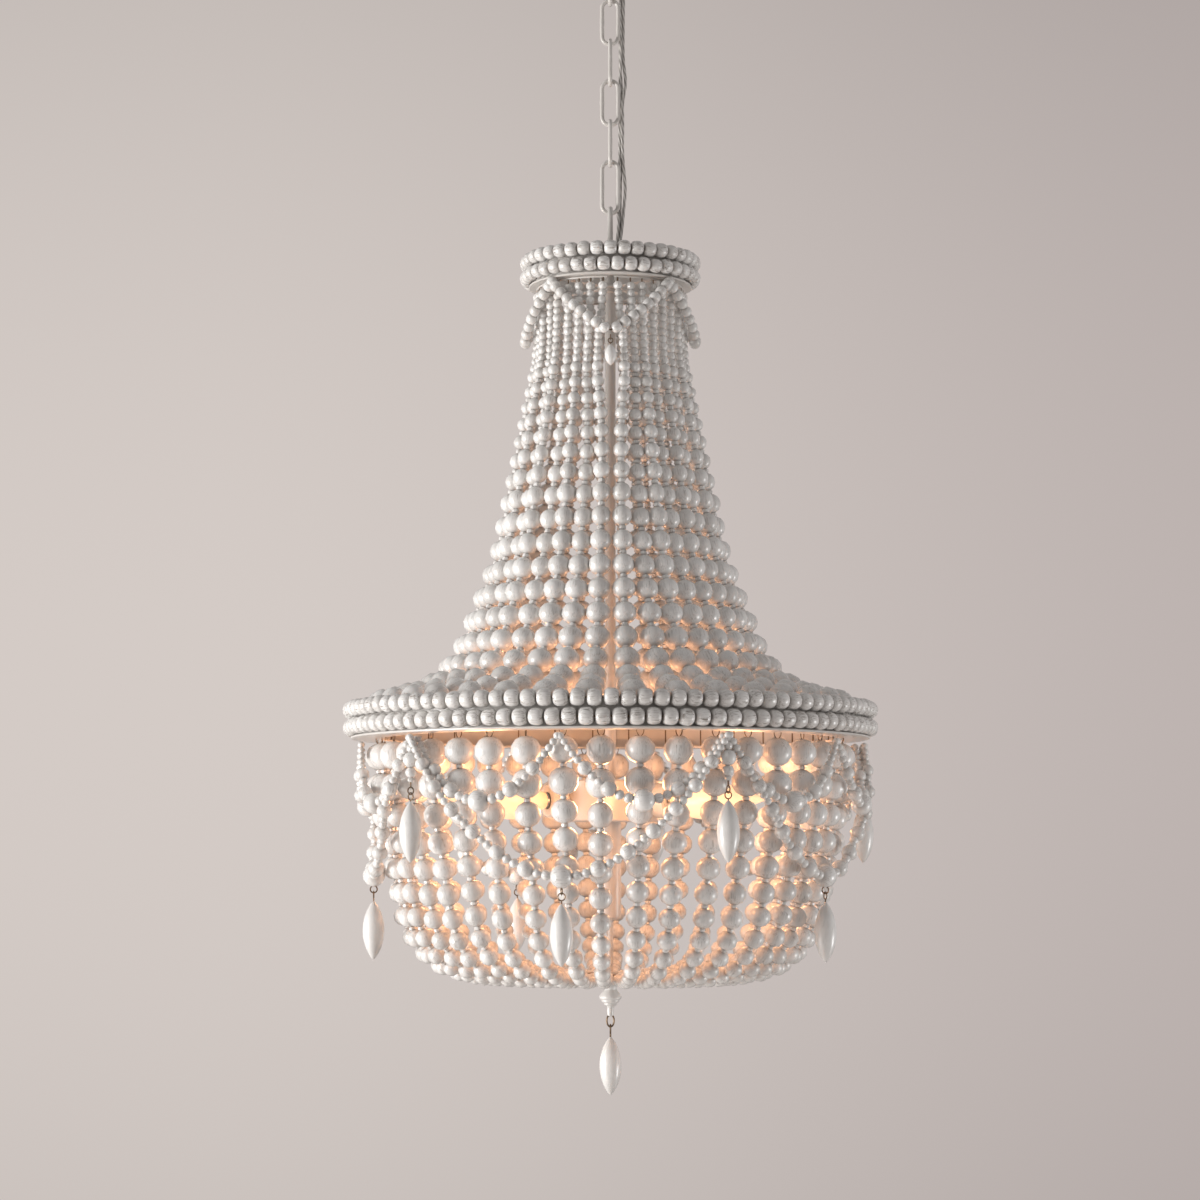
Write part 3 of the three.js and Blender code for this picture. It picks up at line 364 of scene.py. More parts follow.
canopy_low, canopy_high = corner_box("ceiling_canopy")
canopy_radius, canopy_bottom, canopy_sheet = canopy_high[0], canopy_low[2], 1.2
canopy_bore = 5.3
gap = 0.3  # left between pieces that touch
canopy_outline = smooth_line([
    (canopy_bottom, 0.62 * canopy_radius), (canopy_bottom, 0.7 * canopy_radius),
    (0.93 * canopy_bottom, 0.82 * canopy_radius), (0.75 * canopy_bottom, 0.92 * canopy_radius),
    (0.5 * canopy_bottom, 0.975 * canopy_radius), (0.25 * canopy_bottom, canopy_radius),
    (0.0, canopy_radius),
], 1.5)
canopy_inside = canopy_outline[::-1] + (0.0, -canopy_sheet)
canopy_inside[:, 0] = np.clip(canopy_inside[:, 0], canopy_bottom + canopy_sheet, None)
canopy_profile = np.vstack([
    [(canopy_bottom, canopy_bore)], canopy_outline, canopy_inside, [(canopy_bottom + canopy_sheet, canopy_bore)],
])
piece("canopy", "ceiling", "ceiling_canopy", [white_steel],
      [turned(canopy_profile, 96, closed=True)])

loop_wire = 4.0
loop_radius = 10.0
loop_low, loop_high = corner_box("canopy_loop")
nipple = [
    (loop_high[2], 4.6), (loop_high[2] - 0.6, 5.0), (canopy_bottom - gap, 5.0), (canopy_bottom - gap, 8.2),
    (canopy_bottom - 0.9, 9.0), (canopy_bottom - 2.7, 9.0), (canopy_bottom - 3.3, 8.4),
]
loop_middle = loop_low[2] + loop_wire / 2 + loop_radius
piece("canopy_ring", "ceiling", "canopy_loop", [white_steel], [
    turned(nipple[::-1], 40), hoop((0, 0, loop_middle), loop_radius, loop_wire, (ahead, up), 16, 48),
])

for side in ("left", "right"):
    low, high = corner_box(f"canopy_screw_{side}")
    middle = (low + high) / 2
    head = smooth_line([(0.2, 0.3), (0.5, 2.2), (1.6, 3.6), (3.2, 4.0), (5.0, 4.0)], 0.5)
    shank = [(5.0, 2.0), (high[2] - low[2], 2.0)]
    piece(f"round_head_screw_{side}", "ceiling", f"canopy_screw_{side}", [white_steel], [
        turned(np.vstack([head, shank]), 24, (middle[0], middle[1], low[2])),
    ])

low, high = corner_box("cord_grommet")
grommet_profile = np.array([
    (0.0, 3.6), (0.0, 6.2), (0.7, 7.0), (1.5, 7.0), (2.0, 6.6), (2.0, 5.2), (high[2] - low[2], 5.2),
    (high[2] - low[2], 3.6),
])
piece("nylon_grommet", "ceiling", "cord_grommet", [white_nylon], [
    turned(grommet_profile, 32, ((low[0] + high[0]) / 2, (low[1] + high[1]) / 2, low[2]), closed=True),
])
nodes["ceiling_crossbar"].material_slots[0].material = zinc
nodes["terminal_block"].material_slots[0].material = white_nylon

# Chain: six long links of 4 mm wire, bent and butt-welded, powder-coated white with the ring. The weld
# leaves a slight swelling on one side of each link.
chain_wire = 4.0
weld_swell = 0.09
weld_length = 2.6


def long_ring(low, high, wire, sides=16):
    """A link of round wire in an upright plane: two straight sides and two half circles, each point at the
    bend's middle plus R (cos t A + sin t Z). The wire swells by a bell curve about the weld."""
    middle = (low + high) / 2
    wide = ahead if high[0] - low[0] > high[1] - low[1] else np.array([0.0, 1.0, 0.0])
    bend = ((high - low) @ wide - wire) / 2
    rise = (high[2] - low[2] - wire) / 2 - bend
    t = np.linspace(0, pi, 17)
    arcs = [np.column_stack([np.cos(t), np.sin(t)]) * bend + (0, rise)]
    arcs.append(np.column_stack([-np.cos(t), -np.sin(t)]) * bend - (0, rise))
    fill = np.linspace(1, -1, 13)[1:-1] * rise
    sides_left = np.column_stack([np.full_like(fill, -bend), fill])
    outline = np.vstack([arcs[0], sides_left, arcs[1], -sides_left])
    path = middle + outline[:, :1] * wide + outline[:, 1:] * up
    away = np.linalg.norm(outline - (-bend, 0), axis=1)
    radius = wire / 2 * (1 + weld_swell * np.exp(-((away / weld_length) ** 2)))
    return tube(path[None], radius, sides, np.cross(wide, up), closed=True)


for k in range(1, len(swings)):
    low, high = corner_box(f"chain_link_{k}")
    piece(f"welded_link_{k}", f"chain_link_{k}", f"chain_link_{k}", [white_steel],
          [long_ring(low, high, chain_wire)])

# Top loop: a long ring of 5 mm wire brazed into a turned boss. The boss screws onto the stem and takes
# the lamp cord in at its side.
eye_wire = 5.0
eye_span, eye_width = 57.0, 23.0  # over its wires
boss_height = 15.0
boss_radius = 12.0
boss_top_radius = 10.8
spigot_radius = 3.2
low, high = corner_box("top_loop")
boss_bottom = corner_box("center_stem")[1][2] + gap
boss_top = boss_bottom + boss_height
eye_high = np.array([eye_wire / 2, eye_width / 2, high[2]])
eye_low = np.array([-eye_wire / 2, -eye_width / 2, high[2] - eye_span])
boss_profile = [
    (low[2], spigot_radius), (boss_bottom, spigot_radius), (boss_bottom, boss_radius - 0.7),
    (boss_bottom + 0.7, boss_radius), (boss_bottom + 3.0, boss_radius), (boss_bottom + 3.6, boss_radius - 0.5),
    (boss_bottom + 4.2, boss_radius - 0.1), (boss_top - 0.8, boss_top_radius), (boss_top, boss_top_radius - 0.8),
    (boss_top, 2.0),
]
piece("long_top_loop", "fixture", "top_loop", [white_steel], [
    long_ring(eye_low, eye_high, eye_wire, 18), turned(boss_profile, 48),
])

# Stem: a white tube from the boss down to the lamps, with a nut under the crown, and a rod from there
# to the hub.
stem_low, stem_high = corner_box("center_stem")
stem_radius, rod_radius = 5.0, 2.5
crown_low, crown_high = corner_box("top_ring_band")
ring_low, ring_high = corner_box("mid_ring_band")
drum_low, drum_high = corner_box("lamp_drum")
nut_top = crown_low[2] - gap
stem_profile = [
    (stem_low[2], rod_radius - 0.4), (stem_low[2] + 0.4, rod_radius), (drum_low[2] + 2.3, rod_radius),
    (drum_low[2] + 2.3, stem_radius), (nut_top - 4.0, stem_radius), (nut_top - 4.0, 7.4),
    (nut_top - 3.4, 8.0), (nut_top - 0.6, 8.0), (nut_top, 7.4), (nut_top, stem_radius),
    (stem_high[2] - 0.4, stem_radius), (stem_high[2], stem_radius - 0.4),
]
piece("stem_tube_and_rod", "fixture", "center_stem", [white_steel], [turned(stem_profile, 32)])

# Crown band: a rolled strip of white steel inside the beads, on a flat flange that carries the garland
# and the strands. Four spokes join it to the stem.
band_sheet = 2.0
crown_bead = 13.8
lip = 0.5  # rounding of a sheet's edge
spoke_width = 8.0
spoke_count = 4
spoke_hub = 12.0


def on_circle(radius, azimuth, height):
    """Places at a radius from the axis, azimuths counted from the front: (R sin a, -R cos a, z)."""
    azimuth = np.asarray(azimuth, float)
    return np.stack(np.broadcast_arrays(radius * np.sin(azimuth), -radius * np.cos(azimuth), height), axis=-1)


def facing(azimuth):
    """Level directions at an azimuth: away from the axis, and round it."""
    return on_circle(1.0, azimuth, 0.0), on_circle(1.0, azimuth + pi / 2, 0.0)


def band_profile(wall, wall_top, inside, outside, under):
    """An upright wall on a flat flange, as a closed outline whose edges are rounded by two points each."""
    flange = under + band_sheet
    return [
        (under, inside + lip), (under, outside - lip), (under + lip, outside), (flange - lip, outside),
        (flange, outside - lip), (flange, wall), (wall_top - lip, wall), (wall_top, wall - lip),
        (wall_top, wall - band_sheet + lip), (wall_top - lip, wall - band_sheet), (flange, wall - band_sheet),
        (flange, inside + lip), (flange - lip, inside), (under + lip, inside),
    ]


crown_outside = crown_high[0]
crown_flange = 13.0
crown_inside = crown_outside - crown_flange
crown_radius = crown_outside + 9.0  # outside of the crown's beads
crown_wall = crown_radius - crown_bead - gap
spoke_middle = crown_low[2] + band_sheet / 2
spoke_first = radians(45)
spoke_reach = np.linspace(4.0, crown_inside + 2.0, 8)[:, None]
spokes = [
    facing(spoke_first + 2 * pi * k / spoke_count)[0] * spoke_reach + up * spoke_middle for k in range(spoke_count)
]
hub_disc = [
    (spoke_middle - 1.4, 5.3), (spoke_middle - 1.4, spoke_hub - 0.5), (spoke_middle - 0.9, spoke_hub),
    (spoke_middle + 0.9, spoke_hub), (spoke_middle + 1.4, spoke_hub - 0.5), (spoke_middle + 1.4, 5.3),
]
piece("crown_band", "fixture", "top_ring_band", [white_steel], [
    turned(band_profile(crown_wall, crown_high[2], crown_inside, crown_outside, crown_low[2]), 96, closed=True),
    turned(hub_disc, 40, closed=True), tube(spokes, band_sheet / 2, 16, up, flat=spoke_width / band_sheet),
])

# Bead rows of the crown: turned beech beads, whitewashed and rubbed back, threaded on a wire round the
# band. They are short barrels with rounded ends, a little apart, so that dark gaps show between them.
crown_share, ring_share = 0.97, 0.94  # of the wire's pitch that a bead fills
barrel = [
    (-1.0, 0.42), (-0.94, 0.64), (-0.74, 0.85), (-0.4, 0.97), (0.0, 1.0), (0.4, 0.97), (0.74, 0.85),
    (0.94, 0.64), (1.0, 0.42),
]
bead_sides = 14
row_stray, row_tilt = 0.2, 0.045  # chance differences: height in millimetres, direction in radians,
row_thin, row_shortest = 0.025, 0.96  # width and length as shares
row_wire = 1.6
streak_width, streak_length = 1.1, 9.0
worn_size = 8.0


def whitewashed(name, wear_and_end_shade, relief):
    """Whitewashed beech: turned, sanded, painted thin and rubbed back. The wood shows through as grey-brown
    streaks along the bore, where two noises are both high. Painted shade darkens the ends of the bore, where
    a bead meets the next: it grows with the latitude, |z| over the distance from the middle. A clear lacquer
    covers it."""
    material, tree, shader = new_finish(name, {"IOR": 1.5, "Coat Weight": 1.0, "Coat Roughness": 0.24})
    grain = add(tree, "Attribute", {"attribute_name": "grain"})
    tone = add(tree, "Attribute", {"attribute_name": "tone"})
    shift = add(tree, "Math", {"operation": "MULTIPLY"}, {1: 90.0}, {0: tone.outputs["Fac"]})
    stretch = add(tree, "Mapping", values={"Scale": (1 / streak_width, 1 / streak_width, 1 / streak_length)},
                  links={"Vector": grain.outputs["Vector"]})
    streaks = add(tree, "TexNoise", {"noise_dimensions": "4D"}, {"Scale": 1.0, "Detail": 4.0, "Roughness": 0.62},
                  {"Vector": stretch.outputs[0], "W": shift.outputs[0]})
    worn = add(tree, "TexNoise", {"noise_dimensions": "4D"}, {"Scale": 1 / worn_size, "Detail": 2.0},
               {"Vector": grain.outputs["Vector"], "W": shift.outputs[0]})
    fine = add(tree, "MapRange", values={"From Min": 0.46, "From Max": 0.70},
               links={"Value": streaks.outputs["Fac"]})
    thin = add(tree, "MapRange", values={"From Min": 0.40, "From Max": 0.68, "To Min": 0.15 * wear_and_end_shade, "To Max": wear_and_end_shade},
               links={"Value": worn.outputs["Fac"]})
    bare = add(tree, "Math", {"operation": "MULTIPLY"}, links={0: fine.outputs[0], 1: thin.outputs[0]})
    axes = add(tree, "SeparateXYZ", links={0: grain.outputs["Vector"]})
    height = add(tree, "Math", {"operation": "ABSOLUTE"}, links={0: axes.outputs["Z"]})
    distance = add(tree, "VectorMath", {"operation": "LENGTH"}, links={0: grain.outputs["Vector"]})
    latitude = add(tree, "Math", {"operation": "DIVIDE"},
                   links={0: height.outputs[0], 1: distance.outputs["Value"]})
    # painted shade: the bead darkens towards the ends of its bore, where it meets the next bead
    bore_end_shade = add(tree, "MapRange", values={"From Min": 0.74, "From Max": 0.98, "To Max": 0.6 * wear_and_end_shade},
                links={"Value": latitude.outputs[0]})
    # the darker of bare wood, which is wear, and the painted shade at the bore's ends
    bare_wood_and_shade = add(tree, "Math", {"operation": "MAXIMUM"}, links={0: bare.outputs[0], 1: bore_end_shade.outputs[0]})
    paint = add(tree, "Mix", {"data_type": "RGBA"}, {6: linear("#F0EEEC"), 7: linear("#E0DDDA")},
                {0: tone.outputs["Fac"]})
    colour = add(tree, "Mix", {"data_type": "RGBA"}, {7: linear("#857A71")},
                 {0: bare_wood_and_shade.outputs[0], 6: paint.outputs[2]})
    gloss = add(tree, "MapRange", values={"To Min": 0.4, "To Max": 0.65}, links={"Value": bare.outputs[0]})
    bump = add(tree, "Bump", values={"Strength": relief, "Distance": 0.12 * mm},
               links={"Height": streaks.outputs["Fac"]})
    tree.links.new(colour.outputs[2], shader.inputs["Base Color"])
    tree.links.new(gloss.outputs[0], shader.inputs["Roughness"])
    tree.links.new(bump.outputs[0], shader.inputs["Normal"])
    return material


# The beads are worn to the wood in places, most of all in the rings, and the same number sets how dark
# the painted shade at their bore ends is. The large drops are sanded finer and their paint is thicker.
whitewash = whitewashed("whitewashed_turned_beech", 0.75, 0.35)
worn_wash = whitewashed("worn_whitewashed_beech", 1.4, 0.5)
smooth_wash = whitewashed("whitewashed_fine_beech", 0.25, 0.08)


def bead_row(name, node, outside, bead, count, share, offset, seed):
    """A row of barrels round a circle, each along the circle's tangent, with small chance differences."""
    low, high = corner_box(node)
    height = (low[2] + high[2]) / 2
    chance = np.random.default_rng(seed)
    azimuth = (np.arange(count) + offset) * 2 * pi / count
    middle = outside - bead / 2
    centres = on_circle(middle, azimuth, height + chance.normal(0, row_stray, count))
    tangents = unit(facing(azimuth)[1] + chance.normal(0, row_tilt, (count, 3)))
    widths = bead * (1 - np.abs(chance.normal(0, row_thin, count)))
    length = 2 * pi * middle / count * share * chance.uniform(row_shortest, 1.0, count)
    wire = on_circle(middle, np.arange(count) * 2 * pi / count, height)[None]
    piece(name, "fixture", node, [worn_wash, bronze], [
        turned(barrel, bead_sides, centres, tangents, up, widths, length, chance.random(count) * pi,
               tone=chance.random(count)),
        tube(wire, row_wire / 2, 6, up, closed=True, finish=1),
    ])


# Bronzed wire: soft steel wire with a dark brown plated finish, worn a little brighter on its bends.
rub_size = 2.5
bronze = clouded("bronzed_wire", {"Metallic": 1.0, "Roughness": 0.36}, rub_size, ("#5E4E40", "#8F7B66"))[0]

crown_count = 40
for seed, level, offset in ((1, "upper", 0.0), (2, "lower", 0.5)):
    bead_row(f"crown_row_{level}", f"top_ring_beads_{level}", crown_radius, crown_bead, crown_count, crown_share,
             offset, seed)

# Large ring band: the same strip and flange at half a metre, with a thin white lip that shows under the
# beads. The cone's strands end on top of it, the bowl's strands and the swags hang below it.
ring_outside = ring_high[0]
ring_flange = 30.0
ring_bead = 16.0
ring_radius = ring_outside + 8.0  # outside of the large ring's beads
ring_wall = ring_radius - ring_bead - gap
piece("large_ring_band", "fixture", "mid_ring_band", [white_steel], [
    turned(band_profile(ring_wall, ring_high[2], ring_outside - ring_flange, ring_outside, ring_low[2]), 144,
           closed=True),
])
ring_count = 105
for seed, level, offset in ((3, "upper", 0.0), (4, "lower", 0.5)):
    bead_row(f"large_ring_row_{level}", f"mid_ring_beads_{level}", ring_radius, ring_bead, ring_count, ring_share,
             offset, seed)

# Cone strands: 36 wires from small wire loops under the crown's flange to the large ring, each with round
# beads that grow from 8 mm to 25 mm and a small bead between every two, except near the crown. Where the
# cone is narrow every second one lies a little further in, and all of them part round the crown's olives.
strand_bead = 25.0
strand_inset = 34.0  # from the outside of the ring's beads to the strands' ends
spacer = np.array([7.6, 4.7])  # a small bead's width and length
spacer_shares = (1.06, 0.2)  # its size at the ring, and how much it loses up to the crown
bead_chance = (0.97, 1.03)  # shares between which a bead's width varies
cone_count = 36
cone_groups = 6
cone_first = radians(5)
cone_top = np.array([crown_radius - 17.0, crown_low[2] - 1.9])
cone_end = np.array([ring_radius - strand_inset, ring_low[2] + band_sheet + 17.1 + strand_bead / 2])
cone_shares = [
    (0, 0), (0.01, 0.165), (0.082, 0.326), (0.156, 0.476), (0.245, 0.644),
    (0.347, 0.756), (0.476, 0.875), (0.639, 0.949), (0.823, 0.982), (1, 1),
]
cone_bead_shares = [  # up from the ring: width, and length as a share of the width
    (0, 1.02, 0.86), (0.15, 0.94, 0.86), (0.26, 0.89, 0.88), (0.42, 0.78, 0.98), (0.52, 0.71, 1.02),
    (0.6, 0.61, 1.02), (0.66, 0.56, 0.98), (0.74, 0.49, 0.94), (0.8, 0.45, 0.92), (1, 0.32, 0.9),
]
bead_half = 8.0  # about half a bead's length: sizes are read at its middle
cone_plain = 0.82  # share of the strand, from the ring, above which two sizes of small beads alternate
plain_beads = ((7.6, 6.4), (8.6, 7.2))
cone_spare = 6.0  # length without beads under the crown
cone_loop, cone_loop_wire = 2.4, 0.9  # radius and wire of the loop that a strand hangs from
cone_set_back = 5.0
cone_narrow = (-530.0, 95.0)  # height of the narrow part's middle, and its half length
cone_parting = radians(4.5)
parting_reach = radians(14)
parting_height, parting_half = -436.0, 48.0  # height of the olives, and how far the parting reaches from it
parting_olives = 2
sway = 1.2  # a strand's own wander sideways at mid length
round_bead = [(np.sin(t), np.cos(t)) for t in np.radians([-70, -45, -16, 16, 45, 70])]
round_bead = np.array(round_bead) / (np.sin(radians(70)), np.cos(radians(16)))
small_bead = [(-1.0, 0.55), (-0.6, 0.92), (0.0, 1.0), (0.6, 0.92), (1.0, 0.55)]
cut_bead = [(-1.0, 0.45), (-0.3, 1.0), (0.3, 1.0), (1.0, 0.45)]
small_sides = 8
bead_tilt = 0.025  # a bead's own lean on its wire, in radians
arc_overhang = 0.25  # share of the strands' step by which a group's arc of wire passes its last strand
wire_radius = 0.7


def strung(total, start, bead):
    """Beads end to end along a wire until it is full. bead(n, at) gives the nth one's width and length, and
    each row holds its number, the place of its middle, its width and its length."""
    rows, at = [], start
    while at < total:
        width, length = bead(len(rows), at)
        rows.append((len(rows), at + length / 2, width, length))
        at += length
    return np.array(rows)


def read_line(line, at):
    """Places and directions at given lengths along a line of points."""
    reach = length_along(line)
    heading = unit(np.gradient(line, axis=0))
    return [np.column_stack([np.interp(at, reach, column) for column in rows.T]) for rows in (line, heading)]


def outline_in_space(outline, azimuth, aside):
    """An outline of (radius, height) turned to its azimuth, moved sideways by a distance at each point."""
    return on_circle(outline[:, 0], azimuth, outline[:, 1]) + aside[:, None] * facing(azimuth)[1]


def bead_parts(rows, line, lead, chance, large, shape=round_bead, cut=False):
    """Beads and small beads of one string, as two parts: rows as strung() gives them, set along the line.
    Cut ones have flat facets."""
    parts = []
    for kind, profile, sides in ((large, shape, 12), (~large, cut_bead if cut else small_bead, small_sides)):
        _, at, widths, lengths = rows[kind].T
        if len(at) == 0:
            continue
        centres, along = read_line(line, at)
        tilt = unit(along + chance.normal(0, bead_tilt, along.shape))
        parts.append(turned(profile, sides, centres, tilt, lead, widths, lengths, chance.random(len(at)) * pi,
                            tone=chance.random(len(at)), smooth=not cut or profile is shape))
    return parts


def cone_strand(azimuth, k, chance):
    """One strand's parts, its beads counted up from the large ring. With d the angle from the nearest olive and
    h the height from it, it parts from it by 4.5 degrees times exp(-((|d| - 5) / 14)^2 - (h / 48)^2)."""
    outline = smooth_line(cone_top + np.array(cone_shares) * (cone_end - cone_top), 2.0)[::-1]
    narrow = np.exp(-(((outline[:, 1] - cone_narrow[0]) / cone_narrow[1]) ** 2))
    outline[:, 0] -= min(k, cone_count - 1 - k) % 2 * cone_set_back * narrow
    reach = length_along(outline)
    aside = chance.normal(0, sway) * np.sin(pi * reach / reach[-1])
    step = 2 * pi / parting_olives
    from_olive = (azimuth + step / 2) % step - step / 2
    parting = cone_parting * np.exp(-(((abs(from_olive) - cone_first) / parting_reach) ** 2))
    fade = np.exp(-(((outline[:, 1] - parting_height) / parting_half) ** 2))
    line = outline_in_space(outline, azimuth + np.sign(from_olive) * parting * fade, aside)
    shares, sizes, heights = np.array(cone_bead_shares).T

    def bead(n, at):
        if at > cone_plain * reach[-1]:
            return plain_beads[n % 2]
        if n % 2:
            return spacer * (spacer_shares[0] - spacer_shares[1] * at / reach[-1])
        place = (at + bead_half) / reach[-1]
        width = strand_bead * np.interp(place, shares, sizes)
        return width * chance.uniform(*bead_chance), width * np.interp(place, shares, heights)

    rows = strung(reach[-1] - cone_spare, -strand_bead / 2, bead)
    lead = facing(azimuth)[1]
    parts = bead_parts(rows, line, lead, chance, (rows[:, 0] % 2 == 0) & (rows[:, 1] < cone_plain * reach[-1]))
    foot = on_circle(cone_end[0], azimuth, 0.0)
    tail = foot + up * np.linspace(cone_end[1], ring_low[2] + band_sheet + 0.4, 5)[:, None]
    return parts + [
        tube(tail[None], wire_radius, 6, lead, finish=1), tube(line[None, -8:], wire_radius, 6, lead, finish=1),
        hoop(line[-1] - up * 2.0, cone_loop, cone_loop_wire, (lead, up), 6, 14, finish=2),
    ]


def strand_groups(name, node, seed, count, groups, first, stray, strand, arc, finishes):
    """All strands of a kind, each group of them one piece. A strand strays a little from its even place. An arc
    of wire joins each group at one end, given by its radius, height, width and finish."""
    chance = np.random.default_rng(seed)
    step, each = 2 * pi / count, count // groups
    radius, height, wire, finish = arc
    for group in range(groups):
        numbers = range(group * each, (group + 1) * each)
        parts = []
        for k in numbers:
            parts += strand(first + k * step + chance.normal(0, stray), k, chance)
        ends = first + np.array([numbers[0] - arc_overhang, numbers[-1] + arc_overhang]) * step
        joining = on_circle(radius, np.linspace(*ends, 24), height)
        parts.append(tube(joining[None], wire / 2, 8, up, finish=finish))
        piece(f"{name}_{group + 1}", "fixture", f"{node}_{group + 1}", finishes, parts)


strand_groups("cone_strands", "upper_strands", seed=11, count=cone_count, groups=cone_groups, first=cone_first,
              stray=radians(0.25), strand=cone_strand, arc=(cone_top[0], cone_top[1] + 0.4, 2.0, 2),
              finishes=[whitewash, bronze, white_steel])

# Bowl strands: 40 wires, each hooked under the large ring by a bent bronze wire. Their beads shrink from
# 26 mm to about 10 mm as they turn in under the bowl. Every second wire carries beads nearer to the hub,
# where there is no room for all of them.
bowl_bead = 25.4
bowl_count = 40
bowl_groups = 5
bowl_first = radians(-11.2)
hub_low, hub_high = corner_box("bottom_hub")
hub_plate = hub_low[2] + 3.0
bowl_start = np.array([ring_radius - strand_inset, ring_low[2] - gap])
bowl_end = np.array([27.0, hub_plate + 4.8])
bowl_shares = [
    (0, 0), (0.008, 0.19), (0.038, 0.38), (0.079, 0.545), (0.112, 0.68), (0.142, 0.785),
    (0.195, 0.872), (0.284, 0.948), (0.39, 0.988), (0.537, 1.01), (0.748, 1.012), (1, 1),
]
bowl_bead_shares = [
    (0, 1), (0.06, 1.05), (0.13, 1.05), (0.16, 0.93), (0.3, 0.86), (0.45, 0.77), (0.56, 0.67), (0.68, 0.56),
    (0.85, 0.44), (1, 0.34),
]
bowl_spacer = np.array([6.6, 4.0])  # width and length
bowl_spacer_shares = (1.3, 0.7)  # its size at the ring, never over 1, and how much it loses down to the hub
bowl_bead_chance = (0.97, 1.02)
bowl_length_chance = (0.87, 0.95)  # a bead's length, as shares of its width
bowl_sway = 0.8
hook_length = 5.0
hook_outline = [
    (-3.1, 0.2), (-3.0, -1.6), (-2.0, -3.9), (-0.3, -5.6), (0.3, -5.6), (2.0, -3.9), (3.0, -1.6), (3.1, 0.2),
]
hook_tail = [(-4.4, -5.0), (-2.2, -5.3), (0.0, -5.4), (1.6, -5.2)]  # end of the wire, across the bead's top
hook_wire = 0.45  # its radius
hook_turns = (-0.5, 1.2)  # radians between which the hooks are turned
bowl_stops = (58.0, 41.0)  # radius where the beads of even and odd strands stop


def bowl_strand(azimuth, k, chance):
    """One strand's parts, its beads counted down from the large ring, and its hook."""
    outline = smooth_line(bowl_start + np.array(bowl_shares) * (bowl_end - bowl_start), 2.0)
    reach = length_along(outline)
    aside = chance.normal(0, bowl_sway) * np.sin(pi * reach / reach[-1])
    line = outline_in_space(outline, azimuth, aside)
    shares, sizes = np.array(bowl_bead_shares).T
    stop = reach[np.argmax(outline[:, 0] < bowl_stops[k % 2])]

    def bead(n, at):
        if n % 2:
            return bowl_spacer * min(1.0, bowl_spacer_shares[0] - bowl_spacer_shares[1] * at / reach[-1])
        width = bowl_bead * np.interp((at + bead_half) / reach[-1], shares, sizes)
        return width * chance.uniform(*bowl_bead_chance), width * chance.uniform(*bowl_length_chance)

    rows = strung(stop, hook_length, bead)
    outward, lead = facing(azimuth)
    parts = bead_parts(rows, line, lead, chance, rows[:, 0] % 2 == 0)
    turn = chance.uniform(*hook_turns)
    level = np.cos(turn) * lead + np.sin(turn) * outward
    for shape in (hook_outline, hook_tail):
        bend = smooth_line(shape, 0.5)
        bend = on_circle(bowl_start[0], azimuth, bowl_start[1]) + bend[:, :1] * level + bend[:, 1:] * up
        parts.append(tube(bend[None], hook_wire, 6, np.cross(level, up), finish=1))
    parts.append(tube(line[None, np.argmax(reach > stop - 4.0):], wire_radius, 6, lead, finish=1))
    return parts


strand_groups("bowl_strands", "lower_strands", seed=12, count=bowl_count, groups=bowl_groups, first=bowl_first,
              stray=radians(0.2), strand=bowl_strand, arc=(*bowl_end, 3.0, 1), finishes=[whitewash, bronze])

# Crown garland: four short swags of 10 mm beads on one wire, drawn tight under the crown's flange, with
# a small turned olive on two wire rings under the front and the back one.
crown_swags, crown_olives = 4, 2
slack, taut = 2.0, 1.2  # how a swag's height goes with s: 1 is a straight V
crown_string_bead = 10.0
crown_widths, crown_discs, crown_pitch = (1.02, 1.1), (0.92, 0.98), 0.98  # shares of it: width, discs, barrels
crown_barrel = 0.92  # share of its place on the wire that a barrel fills
crown_hook = crown_low[2] - gap - 3.5
crown_sag = 50.0
crown_low_radius, crown_hook_radius = crown_radius - 5.2, crown_radius - 9.0
crown_drop_radius = crown_radius - 5.0
string_gap = 2.0  # from a string's last bead to its hook
blunt = 0.78  # how blunt an olive's ends are: 0.5 would round them, 1 would point them
cut_width = 9.0  # beads narrower than this have cut facets


def swag_lines(lows, low_radius, hook_radius, hook, sag, radius_shares=((0, 0), (1, 1)), bow=slack):
    """Both halves of each swag as points from its lowest bead to its hook: with s from 0 to 1 the azimuth goes
    half a swag to each side, the height is hook - sag (1 - s^bow) and the radius follows the shares."""
    s = np.linspace(0, 1, 80)
    radius = low_radius + (hook_radius - low_radius) * np.interp(s, *np.array(radius_shares).T)
    half = pi / len(lows)
    return [on_circle(radius, low + s * sign * half, hook - sag * (1 - s**bow)) for low in lows for sign in (-1, 1)]


def swag_parts(lines, bead, chance):
    """Both halves of each swag: beads from the low one outwards, which only the first half holds, and the
    wire that carries them."""
    parts = []
    for side, line in enumerate(lines):
        outward = unit(line[0] * (1.0, 1.0, 0.0))
        rows = strung(length_along(line)[-1] - string_gap, -bead(0, 0.0)[1] / 2, bead)[side % 2:]
        parts += bead_parts(rows, line, outward, chance, rows[:, 2] > cut_width, cut=True)
        parts.append(tube(line[None, ::2], wire_radius, 5, outward, finish=1))
    return parts


